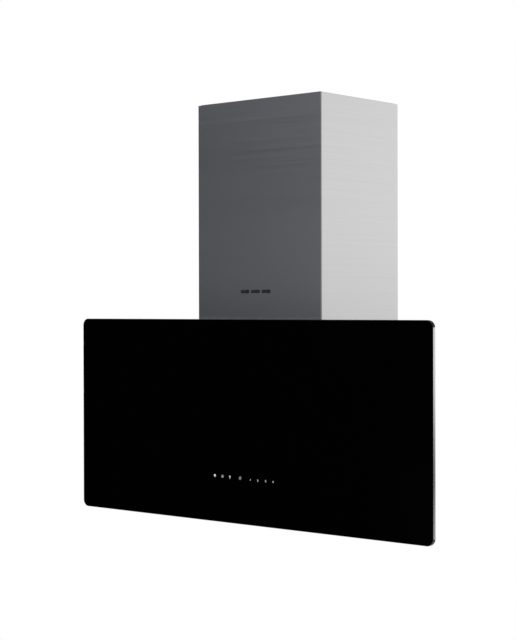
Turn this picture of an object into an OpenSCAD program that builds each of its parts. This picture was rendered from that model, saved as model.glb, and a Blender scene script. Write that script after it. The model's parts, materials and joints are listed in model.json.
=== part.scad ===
// Ceiling-hung range hood with an upright glass panel that swings up for access to the grease filters.
// The origin is the centre of the ceiling plate's top face. +Z is up, +X is to the cook's right, and the
// cook stands on the -Y side. Everything hangs below Z = 0.

/* [Glass panel] */
// Width of the glass panel
panel_w = 900; // [780:10:1200]
// Height of the glass panel
panel_h = 400; // [340:5:520]
// Thickness of the glass
glass_t = 8; // [6:0.5:10]
// Radius of the glass panel's four corners
panel_corner_r = 14; // [4:1:30]
// Distance from the chimney's front to the glass panel's front
panel_setback = 50; // [45:1:70]
// Free air gap between the glass and the filter box
suction_gap = 20; // [18:1:30]
// Glass beyond each side of the filter box
side_overhang = 100; // [60:5:150]
// Glass above the hood's top plate
top_overhang = 15; // [15:1:25]
// Glass below the filter box
bottom_overhang = 22; // [10:1:40]
// How far the panel swings up, in degrees
panel_swing = 80; // [60:1:80]

/* [Panel carrier] */
// Width of the steel tray behind the glass
carrier_w = 600; // [560:10:660]
// Sheet thickness of the tray
carrier_t = 1.2; // [1:0.1:1.5]
// Depth of the tray's folded edges
carrier_depth = 8; // [6:0.5:9]
// Thickness of the tape that bonds the tray to the glass
tape_t = 1; // [0.8:0.1:1.5]
// Width of the touch module
touch_w = 184; // [170:2:220]
// Height of the touch module
touch_h = 40; // [30:1:50]
// Height of the touch module's centre above the glass panel's bottom edge
touch_rise = 90; // [80:1:110]

/* [Chimney] */
// Outer width of the lower chimney cover
chimney_w = 320; // [300:5:390]
// Outer depth of the lower chimney cover
chimney_d = 250; // [240:5:310]
// Sheet thickness of both chimney covers
cover_t = 1; // [0.8:0.1:1.2]
// Outer bend radius of the covers' upright corners
cover_corner_r = 2; // [1.5:0.5:4]
// Gap between the lower cover and the upper one inside it
cover_gap = 3; // [3:0.5:5]
// Gap between the lower cover and the ceiling when the hood is all the way up
ceiling_clearance = 1.5; // [1:0.5:5]
// Distance from the ceiling to the glass panel's top edge when the hood is all the way up
panel_drop = 435; // [435:5:600]
// How far the hood can be lowered
height_travel = 300; // [150:10:300]

/* [Hanging frame] */
// Thickness of the ceiling plate
ceiling_plate_t = 3; // [2.5:0.5:5]
// Height of the ceiling plate's folded edge
ceiling_flange_h = 26; // [24:1:28]
// Thickness of the folded edge, the posts and the frame rings
post_t = 2; // [1.5:0.5:2.5]
// Width of each post's two legs
post_leg = 25; // [25:1:30]
// Clearance between a lower post and the upper post around it
nest_gap = 0.3; // [0.2:0.05:0.4]
// Distance between the ceiling screws along X
ceiling_hole_x = 240; // [220:5:250]
// Distance between the ceiling screws along Y
ceiling_hole_y = 170; // [150:5:180]
// Radius of the ceiling screw holes
ceiling_hole_r = 4.5; // [3:0.5:5.5]

/* [Body] */
// Thickness of the hood's top plate
top_plate_t = 3; // [2.5:0.5:4]
// Height of the top plate's upstand inside the chimney cover
upstand_h = 14; // [12:1:16]
// Sheet thickness of the blower housing
housing_t = 1; // [0.8:0.1:1.5]
// Sheet thickness of the filter box
box_t = 1.2; // [1:0.1:1.5]
// Depth of the filter box
filter_box_d = 72; // [70:1:90]
// Width of the filter box's inward front edge
box_edge = 12; // [10:1:16]
// Width and height of the opening from the filter box to the blower housing
box_port = 296; // [240:2:300]

/* [Filters] */
// Thickness of a grease filter
filter_t = 9; // [8:0.5:12]
// Width of the rim around a filter's mesh
filter_rim = 15; // [13:1:20]
// Travel of a filter's spring latch
latch_travel = 5; // [4.5:0.5:6]

/* [Blower] */
// Outer radius of the blower wheel
wheel_r = 75; // [65:1:76]
// Half of the wheel's length
wheel_half = 70; // [60:1:75]
// Half of the scroll's length
scroll_half = 80; // [78:1:90]
// Wall of the plastic scroll
scroll_wall = 2; // [1.5:0.5:3]
// Radius of the motor's body
motor_r = 42; // [35:1:44]
// Inner radius of the air outlet
outlet_r = 72; // [60:0.5:73]
// Wall of the air outlet
outlet_wall = 2.5; // [2:0.5:3]
// Height of the air outlet above the top plate
outlet_h = 65; // [50:1:80]
// Number of blades on the wheel
blade_count = 30; // [20:1:36]
// How far each damper flap opens, in degrees
flap_swing = 80; // [60:1:80]

/* [Hidden] */
// small gap between pieces that are fastened together but round or slid in
fit = 0.1;
eps = 1;

// hanging frame
upper_cover_x = chimney_w / 2 - cover_t - cover_gap;
upper_cover_y = chimney_d / 2 - cover_t - cover_gap;
cover_spacer = 2;
flange_x = upper_cover_x - cover_t - cover_spacer;
flange_y = upper_cover_y - cover_t - cover_spacer;
upper_post_x = flange_x - post_t;
upper_post_y = flange_y - post_t;
lower_post_x = upper_post_x - post_t - nest_gap;
lower_post_y = upper_post_y - post_t - nest_gap;
low_head = 1.4;
body_head_r = 3.6;

// heights
glass_top = -panel_drop;
glass_bottom = glass_top - panel_h;
plate_top = glass_top - top_overhang;
plate_bottom = plate_top - top_plate_t;
body_bottom = glass_bottom + bottom_overhang;
upper_end = plate_top + upstand_h + 6;
lower_post_top = -ceiling_plate_t - 11;
ring_h = 12;
upper_ring_h = 18;
clamp_1 = lower_post_top - 20;
clamp_2 = clamp_1 - 30;
clamp_r = 2.5;
clamp_y = upper_post_y - post_t - 12;
slot_top = clamp_1 + clamp_r + 3;
slot_bottom = clamp_2 - height_travel - clamp_r - 3;

// depths, from the cook's side to the back
glass_front = -chimney_d / 2 - panel_setback;
glass_back = glass_front + glass_t;
skin_front = glass_back + tape_t;
skin_back = skin_front + carrier_t;
carrier_back = skin_front + carrier_depth;
box_front = glass_back + suction_gap;
box_back = box_front + filter_box_d;

// filter box
box_x = panel_w / 2 - side_overhang;
face_x = box_x - box_edge;
face_top = plate_bottom - box_edge;
face_bottom = body_bottom + box_edge;
filter_play = 0.5;
filter_w = face_x - 2 * filter_play;
filter_top = face_top - filter_play;
filter_bottom = face_bottom + filter_play;
keeper_front = box_front + 7.6;
latch_front = keeper_front + box_t + 1.2;
latch_t = 3.8;
filter_front = latch_front + latch_t + 0.2;
filter_back = filter_front + filter_t;
gasket_t = 2;
seat_front = filter_back + gasket_t;
port_z = (plate_bottom + body_bottom) / 2;
lamp_x = (box_x + chimney_w / 2) / 2;
lamp_y = (seat_front + box_t + box_back - box_t) / 2;
lamp_l = 180;
lamp_w = 30;

// panel carrier
carrier_top = face_top;
carrier_bottom = glass_bottom + 50;
touch_z = glass_bottom + touch_rise;
hinge_x = carrier_w / 2 - 50;
hinge_y = box_front - 6;
hinge_z = plate_bottom + 7;
knuckle_r = 6;
hinge_pin_r = 3;
hinge_half = 20;
arm_half = 8;
strike_z = body_bottom + box_edge / 2;

// blower
scroll_y = chimney_d / 2 - housing_t - 3.5 - scroll_wall - (wheel_r + 11);
scroll_z = plate_bottom - wheel_r - 92;
scroll_start_r = wheel_r + 6;
scroll_end_r = wheel_r + 20;
scroll_front = scroll_y - scroll_end_r - scroll_wall;
tongue_y = scroll_y + 7;
neck_z = scroll_z + wheel_r + 15;
inlet_r = wheel_r - 15;
collar_x = scroll_half + 3;
collar_r = outlet_r + outlet_wall + 9;
shaft_r = 4;
motor_end = scroll_half + 18;
flap_axis_z = plate_top + 14;
flap_pin_r = 2;
flap_knuckle_r = 4;
flap_t = 1.2;

// control gear
floor_top = body_bottom + box_t;
power_x = 90;
power_y0 = -40;
power_y1 = 60;
power_h = 38;
power_wall = 2;
gland_x = -105;
gland_y = 60;
gland_bore_r = 4;
gland_stem_r = 6;

SIDES = [["left", -1], ["right", 1]];
CORNERS = [["front_left", -1, -1], ["front_right", 1, -1], ["rear_left", -1, 1], ["rear_right", 1, 1]];

// ---------- shared shapes ----------

// a box between two opposite corners, given in any order
module block(a, b) {
    low = [for (i = [0:2]) min(a[i], b[i])];
    high = [for (i = [0:2]) max(a[i], b[i])];
    translate(low) cube(high - low);
}

// turns the local +Z axis to a direction along X, Y or Z
module along(dir) {
    if (dir.x != 0) rotate([0, 90 * dir.x, 0]) children();
    else if (dir.y != 0) rotate([-90 * dir.y, 0, 0]) children();
    else rotate([dir.z < 0 ? 180 : 0, 0, 0]) children();
}

// a rod or a drilled hole that starts at a point and runs along a direction
module rod(at, dir, r, len) {
    translate(at) along(dir) cylinder(r = r, h = len, $fn = 48);
}

// a screw whose head's underside is at a point, with its shank along dir
module screw(at, dir, r, len, head_r, head_h) {
    translate(at) along(dir) difference() {
        union() {
            translate([0, 0, -head_h]) cylinder(r = head_r, h = head_h, $fn = 36);
            cylinder(r = r, h = len, $fn = 36);
        }
        translate([0, 0, -head_h - eps]) cylinder(r = r * 0.7, h = eps + head_h * 0.6, $fn = 6);
    }
}

// a rectangle about the origin with round corners
module rounded_rect(w, h, r) {
    square([w - 2 * r, h], center = true);
    square([w, h - 2 * r], center = true);
    for (x = [-1, 1])
        for (y = [-1, 1])
            translate([x * (w / 2 - r), y * (h / 2 - r)]) circle(r = r, $fn = 48);
}

// an open upright tube of sheet with bent corners
module sheet_tube(half_x, half_y, r, t, z0, z1) {
    translate([0, 0, z0]) linear_extrude(z1 - z0) difference() {
        rounded_rect(2 * half_x, 2 * half_y, r);
        rounded_rect(2 * (half_x - t), 2 * (half_y - t), max(r - t, 0.4));
    }
}

// a strip bent round into a square-cornered ring
module strap_ring(half_x, half_y, t, z0, z1) {
    difference() {
        block([-half_x, -half_y, z0], [half_x, half_y, z1]);
        block([t - half_x, t - half_y, z0 - eps], [half_x - t, half_y - t, z1 + eps]);
    }
}

// a shape drawn in Y and Z, stretched along X
module yz_prism(x0, x1) {
    translate([x0, 0, 0]) rotate([90, 0, 90]) linear_extrude(x1 - x0) children();
}

// a shape drawn in X and Z, stretched along Y
module xz_prism(y0, y1) {
    translate([0, y1, 0]) rotate([90, 0, 0]) linear_extrude(y1 - y0) children();
}

// a picture-frame ring that faces the cook
module face_ring(x0, x1, z0, z1, rim, y0, y1) {
    difference() {
        block([x0, y0, z0], [x1, y1, z1]);
        block([x0 + rim, y0 - eps, z0 + rim], [x1 - rim, y1 + eps, z1 - rim]);
    }
}

// a cable through a list of points, its corners rounded by cutting them twice
function unit(v) = v / norm(v);
function cut_corners(p) = concat([p[0]],
    [for (i = [0:len(p) - 2]) for (f = [0.25, 0.75]) p[i] + f * (p[i + 1] - p[i])], [p[len(p) - 1]]);
function headings(p) = [for (i = [0:len(p) - 1]) unit(p[min(i + 1, len(p) - 1)] - p[max(i - 1, 0)])];
function sideways(t, u) = unit(u - (u * t) * t);
function carried(t, u, i = 0) = i == len(t) ? [] : concat([sideways(t[i], u)], carried(t, sideways(t[i], u), i + 1));

module cable(corners, r) {
    sides = 8;
    p = cut_corners(cut_corners(corners));
    t = headings(p);
    u = carried(t, abs(t[0].x) > 0.9 ? [0, 1, 0] : [1, 0, 0]);
    last = (len(p) - 1) * sides;
    polyhedron(
        points = [for (i = [0:len(p) - 1]) for (k = [0:sides - 1])
            p[i] + r * (cos(360 * k / sides) * u[i] + sin(360 * k / sides) * cross(t[i], u[i]))],
        faces = concat(
            [[for (k = [sides - 1:-1:0]) k]],
            [for (i = [0:len(p) - 2]) for (k = [0:sides - 1]) let (n = (k + 1) % sides)
                [i * sides + k, i * sides + n, (i + 1) * sides + n, (i + 1) * sides + k]],
            [[for (k = [0:sides - 1]) last + k]]
        )
    );
}

// ---------- ceiling plate and upper frame ----------

flange_screw_z = -ceiling_plate_t - 15;
cover_screw_z = -ceiling_plate_t - 12;
cover_screw_y = flange_y / 2;
ring_rivet_z = upper_end + upper_ring_h / 2;
leg_rivet = 14;

module frame_side_points(z, half_x, half_y) {
    for (sx = [-1, 1])
        for (sy = [-1, 1]) {
            translate([sx * half_x, sy * (upper_post_y - leg_rivet), z]) along([-sx, 0, 0]) children();
            translate([sx * (upper_post_x - leg_rivet), sy * half_y, z]) along([0, -sy, 0]) children();
        }
}

module ceiling_plate() color("gainsboro") difference() {
    union() {
        block([-flange_x, -flange_y, -ceiling_plate_t], [flange_x, flange_y, 0]);
        strap_ring(flange_x, flange_y, post_t, -ceiling_flange_h, 0);
        for (sx = [-1, 1])
            for (sy = [-1, 1])
                rod([sx * (flange_x - post_t / 2), sy * cover_screw_y, cover_screw_z], [sx, 0, 0], 7,
                    cover_spacer + post_t / 2);
    }
    for (sx = [-1, 1])
        for (sy = [-1, 1]) {
            rod([sx * ceiling_hole_x / 2, sy * ceiling_hole_y / 2, -ceiling_plate_t - eps], [0, 0, 1],
                ceiling_hole_r, ceiling_plate_t + 2 * eps);
            rod([sx * (flange_x - 3 * post_t), sy * cover_screw_y, cover_screw_z], [sx, 0, 0],
                1.5 + fit, 4 * post_t + cover_spacer);
        }
    rod([0, 0, -ceiling_plate_t - eps], [0, 0, 1], outlet_r + outlet_wall + 10.5, ceiling_plate_t + 2 * eps);
    rod([gland_x, gland_y, -ceiling_plate_t - eps], [0, 0, 1], 12, ceiling_plate_t + 2 * eps);
    frame_side_points(flange_screw_z, flange_x + eps, flange_y + eps)
        cylinder(r = 2 + fit, h = post_t + 2 * eps, $fn = 36);
}

module upper_post(sx, sy) color("silver") difference() {
    union() {
        block([sx * (upper_post_x - post_t), sy * (upper_post_y - post_leg), -ceiling_plate_t],
              [sx * upper_post_x, sy * upper_post_y, upper_end]);
        block([sx * (upper_post_x - post_leg), sy * (upper_post_y - post_t), -ceiling_plate_t],
              [sx * upper_post_x, sy * upper_post_y, upper_end]);
    }
    // slot for the clamp screws
    slot_r = clamp_r + 0.25;
    for (z = [slot_top - slot_r, slot_bottom + slot_r])
        rod([sx * (upper_post_x + eps), sy * clamp_y, z], [-sx, 0, 0], slot_r, post_t + 2 * eps);
    block([sx * (upper_post_x + eps), sy * clamp_y - slot_r, slot_top - slot_r],
          [sx * (upper_post_x - post_t - eps), sy * clamp_y + slot_r, slot_bottom + slot_r]);
    for (z = [flange_screw_z, ring_rivet_z])
        frame_side_points(z, upper_post_x + eps, upper_post_y + eps)
            cylinder(r = 2 + fit, h = post_t + 2 * eps, $fn = 36);
}

module upper_frame_ring() color("silver") difference() {
    strap_ring(flange_x, flange_y, post_t, upper_end, upper_end + upper_ring_h);
    frame_side_points(ring_rivet_z, flange_x + eps, flange_y + eps)
        cylinder(r = 2 + fit, h = post_t + 2 * eps, $fn = 36);
}

module upper_frame_screws() color("dimgray")
    for (z = [flange_screw_z, ring_rivet_z])
        frame_side_points(z, flange_x, flange_y)
            screw([0, 0, 0], [0, 0, 1], 2, 2 * post_t, 3.5, low_head);

module upper_cover() color("silver") difference() {
    sheet_tube(upper_cover_x, upper_cover_y, cover_corner_r, cover_t, upper_end, 0);
    for (sx = [-1, 1])
        for (sy = [-1, 1])
            rod([sx * (upper_cover_x - 2 * cover_t), sy * cover_screw_y, cover_screw_z], [sx, 0, 0],
                1.5 + fit, 3 * cover_t);
}

module upper_cover_screws() color("dimgray")
    for (sx = [-1, 1])
        for (sy = [-1, 1])
            screw([sx * upper_cover_x, sy * cover_screw_y, cover_screw_z], [-sx, 0, 0], 1.5,
                  cover_t + cover_spacer + post_t, 3, low_head);

// ---------- lower frame, sliding inside the upper one ----------

foot_w = 32;
foot_t = 3;
foot_hole = 20;
lower_rivet_z = lower_post_top - 1 - ring_h / 2;
lower_ring_x = lower_post_x - post_t;
lower_ring_y = lower_post_y - post_t;

module lower_post(sx, sy) color("darkgray") difference() {
    union() {
        block([sx * (lower_post_x - post_t), sy * (lower_post_y - post_leg), plate_top],
              [sx * lower_post_x, sy * lower_post_y, lower_post_top]);
        block([sx * (lower_post_x - post_leg), sy * (lower_post_y - post_t), plate_top],
              [sx * lower_post_x, sy * lower_post_y, lower_post_top]);
        block([sx * (lower_post_x - foot_w), sy * (lower_post_y - foot_w), plate_top],
              [sx * lower_post_x, sy * lower_post_y, plate_top + foot_t]);
    }
    for (z = [clamp_1, clamp_2])
        rod([sx * (lower_post_x + eps), sy * clamp_y, z], [-sx, 0, 0], clamp_r + fit, post_t + 2 * eps);
    frame_side_points(lower_rivet_z, lower_post_x + eps, lower_post_y + eps)
        cylinder(r = 1.5 + fit, h = post_t + 2 * eps, $fn = 36);
    rod([sx * (lower_post_x - foot_hole), sy * (lower_post_y - foot_hole), plate_top - eps], [0, 0, 1],
        clamp_r + fit, foot_t + 2 * eps);
}

module lower_frame_ring() color("darkgray") difference() {
    strap_ring(lower_ring_x, lower_ring_y, post_t, lower_post_top - 1 - ring_h, lower_post_top - 1);
    frame_side_points(lower_rivet_z, lower_ring_x + eps, lower_ring_y + eps)
        cylinder(r = 1.5 + fit, h = post_t + 2 * eps, $fn = 36);
}

// a clamp screw with its nut run up against the lower post
module frame_clamp_screws() color("dimgray")
    for (sx = [-1, 1])
        for (sy = [-1, 1])
            for (z = [clamp_1, clamp_2]) {
                screw([sx * (upper_post_x + fit), sy * clamp_y, z], [-sx, 0, 0], clamp_r,
                      2 * post_t + nest_gap + 7, 4.5, 2.6);
                translate([sx * (lower_post_x - post_t), sy * clamp_y, z]) along([-sx, 0, 0])
                    cylinder(r = 4.6, h = 4, $fn = 6);
            }

module lower_frame_screws() color("dimgray") {
    // rivets of the ring, heads inwards
    for (sx = [-1, 1])
        for (sy = [-1, 1]) {
            screw([sx * (lower_ring_x - post_t), sy * (upper_post_y - leg_rivet), lower_rivet_z],
                  [sx, 0, 0], 1.5, 2 * post_t, 3, low_head);
            screw([sx * (upper_post_x - leg_rivet), sy * (lower_ring_y - post_t), lower_rivet_z],
                  [0, sy, 0], 1.5, 2 * post_t, 3, low_head);
            // foot screws with their nuts under the top plate
            translate([sx * (lower_post_x - foot_hole), sy * (lower_post_y - foot_hole), 0]) {
                screw([0, 0, plate_top + foot_t], [0, 0, -1], clamp_r, foot_t + top_plate_t + 6, 4.5, 3);
                translate([0, 0, plate_bottom - (sy < 0 ? box_t : 0) - 4]) cylinder(r = 4.6, h = 4, $fn = 6);
            }
            // screws of the chimney cover
            screw([sx * chimney_w / 2, sy * cover_screw_y, cover_foot_z], [-sx, 0, 0], 1.5,
                  cover_t + upstand_play + upstand_t + 2, 3, low_head);
        }
}

// ---------- chimney cover and top plate ----------

upstand_t = 1.5;
upstand_play = 0.5;
upstand_x = chimney_w / 2 - cover_t - upstand_play;
upstand_y = chimney_d / 2 - cover_t - upstand_play;
cover_foot_z = plate_top + upstand_h / 2;
seam_w = 0.6;
seam_strip = 20;
seam_strip_t = 0.8;

// the chimney sheet, joined at the middle of its back by a strip inside
module lower_cover() color("silver") difference() {
    union() {
        difference() {
            sheet_tube(chimney_w / 2, chimney_d / 2, cover_corner_r, cover_t, plate_top,
                       -ceiling_clearance);
            block([-seam_w / 2, 0, plate_top - eps], [seam_w / 2, chimney_d, 0]);
        }
        block([-seam_strip / 2, chimney_d / 2 - cover_t - seam_strip_t, plate_top + upstand_h + 2],
              [seam_strip / 2, chimney_d / 2 - cover_t, -ceiling_clearance - 4]);
    }
    for (sx = [-1, 1])
        for (sy = [-1, 1])
            rod([sx * (chimney_w / 2 - 3 * cover_t), sy * cover_screw_y, cover_foot_z], [sx, 0, 0],
                1.5 + fit, 4 * cover_t);
}

collar_screw = (collar_r - body_head_r - 0.3) * cos(45);
box_screw_x = [-box_port / 3, -box_port / 9, box_port / 9, box_port / 3];
box_screw_y = -chimney_d / 2 + 21;
edge_screws = [[-1, 0], [1, 0], [-1, 0.6], [1, 0.6]];
edge_screw_x = chimney_w / 2 - 9;

module top_plate() color("gainsboro") difference() {
    union() {
        translate([0, 0, plate_bottom]) linear_extrude(top_plate_t)
            rounded_rect(chimney_w, chimney_d, cover_corner_r);
        strap_ring(upstand_x, upstand_y, upstand_t, plate_bottom + 1, plate_top + upstand_h);
    }
    rod([0, 0, plate_bottom - eps], [0, 0, 1], outlet_r, top_plate_t + 2 * eps);
    rod([gland_x, gland_y, plate_bottom - eps], [0, 0, 1], gland_stem_r + fit, top_plate_t + 2 * eps);
    for (sx = [-1, 1])
        for (sy = [-1, 1]) {
            rod([sx * (lower_post_x - foot_hole), sy * (lower_post_y - foot_hole), plate_bottom - eps],
                [0, 0, 1], clamp_r + fit, top_plate_t + 2 * eps);
            rod([sx * collar_screw, sy * collar_screw, plate_bottom - eps], [0, 0, 1], 2 + fit,
                top_plate_t + 2 * eps);
            rod([sx * (upstand_x - 2 * upstand_t), sy * cover_screw_y, cover_foot_z], [sx, 0, 0],
                1.5 + fit, 3 * upstand_t);
        }
    for (x = box_screw_x)
        rod([x, box_screw_y, plate_bottom - eps], [0, 0, 1], 2 + fit, top_plate_t + 2 * eps);
    for (p = edge_screws)
        rod([p[0] * edge_screw_x, p[1] * chimney_d / 2, plate_bottom - eps], [0, 0, 1], 2 + fit,
            top_plate_t + 2 * eps);
}

// ---------- blower housing and filter box ----------

housing_y = (box_back + chimney_d / 2) / 2;
housing_d = chimney_d / 2 - box_back;
housing_edge = 13;
port_screw_z = [plate_bottom - 40, port_z, body_bottom + 40];
floor_screw_y = [box_back + 50, box_back + 150];

module housing_outline(inset) {
    translate([0, housing_y])
        rounded_rect(chimney_w - 2 * inset, housing_d - 2 * inset, max(cover_corner_r - inset, 0.4));
}

module housing_shell() color([0.13, 0.13, 0.14]) difference() {
    union() {
        translate([0, 0, body_bottom]) linear_extrude(plate_bottom - body_bottom) difference() {
            housing_outline(0);
            housing_outline(housing_t);
        }
        translate([0, 0, plate_bottom - housing_t]) linear_extrude(housing_t) difference() {
            housing_outline(0);
            housing_outline(housing_edge);
        }
    }
    block([housing_edge - chimney_w / 2, box_back - eps, body_bottom - eps],
          [chimney_w / 2 - housing_edge, box_back + housing_edge + eps, plate_bottom + eps]);
    for (p = edge_screws)
        rod([p[0] * edge_screw_x, p[1] * chimney_d / 2, plate_bottom - housing_t - eps], [0, 0, 1],
            2 + fit, housing_t + 2 * eps);
    for (sx = [-1, 1]) {
        for (z = port_screw_z)
            rod([sx * edge_screw_x, box_back - eps, z], [0, 1, 0], 2 + fit, housing_t + 2 * eps);
        for (y = floor_screw_y)
            rod([sx * (chimney_w / 2 + eps), y, floor_top + 6], [-sx, 0, 0], 1.5 + fit,
                housing_t + 2 * eps);
    }
}

module housing_floor() color([0.13, 0.13, 0.14]) difference() {
    union() {
        translate([0, 0, body_bottom]) linear_extrude(box_t) housing_outline(housing_t + fit);
        translate([0, 0, body_bottom]) linear_extrude(box_t + 12) difference() {
            housing_outline(housing_t + fit);
            housing_outline(housing_t + fit + box_t);
        }
    }
    for (sx = [-1, 1])
        for (y = floor_screw_y)
            rod([sx * (chimney_w / 2 - 2 * housing_t - 2 * box_t), y, floor_top + 6], [sx, 0, 0],
                1.5 + fit, 4 * box_t);
}

module stadium(l, w) {
    square([l - w, w], center = true);
    for (s = [-1, 1])
        translate([s * (l - w) / 2, 0]) circle(r = w / 2, $fn = 48);
}

module filter_box() color([0.1, 0.1, 0.11]) difference() {
    union() {
        difference() {
            block([-box_x, box_front, body_bottom], [box_x, box_back, plate_bottom]);
            block([box_t - box_x, box_front + box_t, body_bottom + box_t],
                  [box_x - box_t, box_back - box_t, plate_bottom - box_t]);
            block([-face_x, box_front - eps, face_bottom], [face_x, box_front + 2 * box_t, face_top]);
        }
        // keeper strips that the filters' tabs and latches sit behind
        block([-face_x, keeper_front, plate_bottom - box_t], [face_x, keeper_front + box_t, face_top + 2]);
        block([-face_x, keeper_front, body_bottom + box_t], [face_x, keeper_front + box_t, face_bottom - 2]);
    }
    block([-box_port / 2, box_back - 2 * box_t, port_z - box_port / 2],
          [box_port / 2, box_back + eps, port_z + box_port / 2]);
    for (sx = [-1, 1]) {
        translate([sx * lamp_x, lamp_y, body_bottom - eps]) linear_extrude(box_t + 2 * eps)
            stadium(lamp_l - 9.6, lamp_w - 7.6);
        for (z = port_screw_z)
            rod([sx * edge_screw_x, box_back - box_t - eps, z], [0, 1, 0], 2 + fit, box_t + 2 * eps);
        for (s = [-1, 1]) {
            rod([sx * hinge_x + s * 13, box_front + 18, plate_bottom - box_t - eps], [0, 0, 1], 2 + fit,
                box_t + 2 * eps);
            rod([sx * hinge_x + s * 12, box_front - eps, strike_z], [0, 1, 0], 1.5 + fit,
                box_t + 2 * eps);
        }
        // front feet of the lower posts
        rod([sx * (lower_post_x - foot_hole), foot_hole - lower_post_y, plate_bottom - box_t - eps],
            [0, 0, 1], clamp_r + fit, box_t + 2 * eps);
    }
    // room for the blower's outlet flange, and for its neck where a deep box reaches it
    rod([0, 0, plate_bottom - scroll_flange_t - 1], [0, 0, 1], collar_r + 1, scroll_flange_t + 1 + eps);
    if (scroll_front - 1 < box_back)
        block([-scroll_half - scroll_wall - 1, scroll_front - 1, port_z],
              [scroll_half + scroll_wall + 1, box_back + eps, plate_bottom + eps]);
    for (x = box_screw_x)
        rod([x, box_screw_y, plate_bottom - box_t - eps], [0, 0, 1], 2 + fit, box_t + 2 * eps);
}

module body_screws() color("dimgray") {
    for (x = box_screw_x)
        screw([x, box_screw_y, plate_top], [0, 0, -1], 2, top_plate_t + box_t + 3, body_head_r, 2.2);
    for (p = edge_screws)
        screw([p[0] * edge_screw_x, p[1] * chimney_d / 2, plate_top], [0, 0, -1], 2,
              top_plate_t + housing_t + 4, body_head_r, 2.2);
    for (sx = [-1, 1]) {
        for (z = port_screw_z)
            screw([sx * edge_screw_x, box_back + housing_t, z], [0, -1, 0], 2, housing_t + box_t + 3,
                  body_head_r, 2.2);
        for (y = floor_screw_y)
            screw([sx * chimney_w / 2, y, floor_top + 6], [-sx, 0, 0], 1.5,
                  housing_t + fit + box_t + 2, 3, low_head);
        for (s = [-1, 1]) {
            // hinge bracket screws
            screw([sx * hinge_x + s * 13, box_front + 18, plate_bottom + bracket_t], [0, 0, -1], 2,
                  bracket_t + box_t + 3, body_head_r, 2.2);
            // outlet collar screws
            screw([sx * collar_screw, s * collar_screw, plate_top + collar_base_t], [0, 0, -1], 2,
                  collar_base_t + top_plate_t + scroll_flange_t + 3, body_head_r, 2.2);
        }
    }
}

// ---------- filters ----------

seat_x = box_x - box_t - fit;
seat_top = plate_bottom - box_t - fit;
seat_bottom = body_bottom + box_t + fit;

// the side's two X limits of a filter, from the middle outwards
function filter_x(side) = [side * filter_play, side * (filter_play + filter_w)];

module filter_seat() color([0.15, 0.15, 0.16]) difference() {
    union() {
        block([-seat_x, seat_front, seat_bottom], [seat_x, seat_front + box_t, seat_top]);
        strap_ring_xz(seat_x, seat_bottom, seat_top, box_t, seat_front, seat_front + 9);
    }
    for (s = [-1, 1])
        block([s * (filter_play + filter_rim - 2), seat_front - eps, filter_bottom + filter_rim - 2],
              [s * (filter_play + filter_w - filter_rim + 2), seat_front + box_t + eps,
               filter_top - filter_rim + 2]);
}

module strap_ring_xz(half_x, z0, z1, t, y0, y1) {
    difference() {
        block([-half_x, y0, z0], [half_x, y1, z1]);
        block([t - half_x, y0 - eps, z0 + t], [half_x - t, y1 + eps, z1 - t]);
    }
}

module filter_gasket() color([0.08, 0.08, 0.08])
    for (s = [-1, 1])
        face_ring(min(filter_x(s)) + 2, max(filter_x(s)) - 2, filter_bottom + 2, filter_top - 2,
                  filter_rim - 4, filter_back, seat_front);

latch_half = 25;
latch_h = 12;
latch_bolt = 10;
latch_z0 = filter_bottom + 3.5;
latch_bolt_end = face_bottom - 2 - latch_travel + 0.5;
groove = 6;
mesh_t = filter_t - 3;

module filter_frame(side) color([0.72, 0.73, 0.75]) {
    x = filter_x(side);
    mid = (x[0] + x[1]) / 2;
    difference() {
        block([x[0], filter_front, filter_bottom], [x[1], filter_back, filter_top]);
        block([min(x) + filter_rim, filter_front - eps, filter_bottom + filter_rim],
              [max(x) - filter_rim, filter_back + eps, filter_top - filter_rim]);
        block([min(x) + groove, filter_front + 1.5, filter_bottom + groove],
              [max(x) - groove, filter_back - 1.5, filter_top - groove]);
    }
    // top tabs
    for (s = [-1, 1])
        block([mid + s * 90, filter_front, filter_top - 1], [mid + s * 115, filter_front + 3, filter_top + 6]);
    // guides that hold the latch
    for (s = [-1, 1]) {
        block([mid + s * (latch_half + 0.3), latch_front, latch_z0 - 2.3],
              [mid + s * (latch_half + 4), filter_front, latch_z0 + latch_h + latch_travel]);
        block([mid + s * (latch_half - 4), latch_front - 1.1, latch_z0 - 2.3],
              [mid + s * (latch_half + 4), latch_front - 0.2, latch_z0 + latch_h + latch_travel]);
        block([mid + s * (latch_half + 0.3), latch_front - 0.2, latch_z0 - 2.3],
              [mid + s * (latch_half + 4), latch_front, latch_z0 + latch_h + latch_travel]);
        block([mid + s * (latch_bolt + 2), latch_front - 1.1, latch_z0 - 2.3],
              [mid + s * (latch_half + 4), filter_front, latch_z0 - 0.3]);
    }
}

module filter_mesh(side) color([0.78, 0.79, 0.8]) {
    x = filter_x(side);
    block([min(x) + groove + 0.2, filter_front + 1.5 + fit / 2, filter_bottom + groove + 0.2],
          [max(x) - groove - 0.2, filter_back - 1.5 - fit / 2, filter_top - groove - 0.2]);
}

module filter_latch(side) color([0.1, 0.1, 0.1]) {
    x = filter_x(side);
    mid = (x[0] + x[1]) / 2;
    block([mid - latch_half, latch_front, latch_z0], [mid + latch_half, filter_front - 0.2, latch_z0 + latch_h]);
    block([mid - latch_bolt, latch_front, latch_bolt_end], [mid + latch_bolt, filter_front - 0.2, latch_z0 + 1]);
    // finger tab with two ribs
    block([mid - 12, latch_front - 6, latch_z0 + 4], [mid + 12, latch_front + 1, latch_z0 + 7]);
    block([mid - 12, latch_front - 3.5, latch_z0 + 7], [mid + 12, latch_front + 1, latch_z0 + 10]);
}

// ---------- hinges and catches ----------

bracket_t = 3;
strike_t = 2;

module hinge_circle(r) {
    translate([hinge_y, hinge_z]) circle(r = r, $fn = 48);
}

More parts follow.
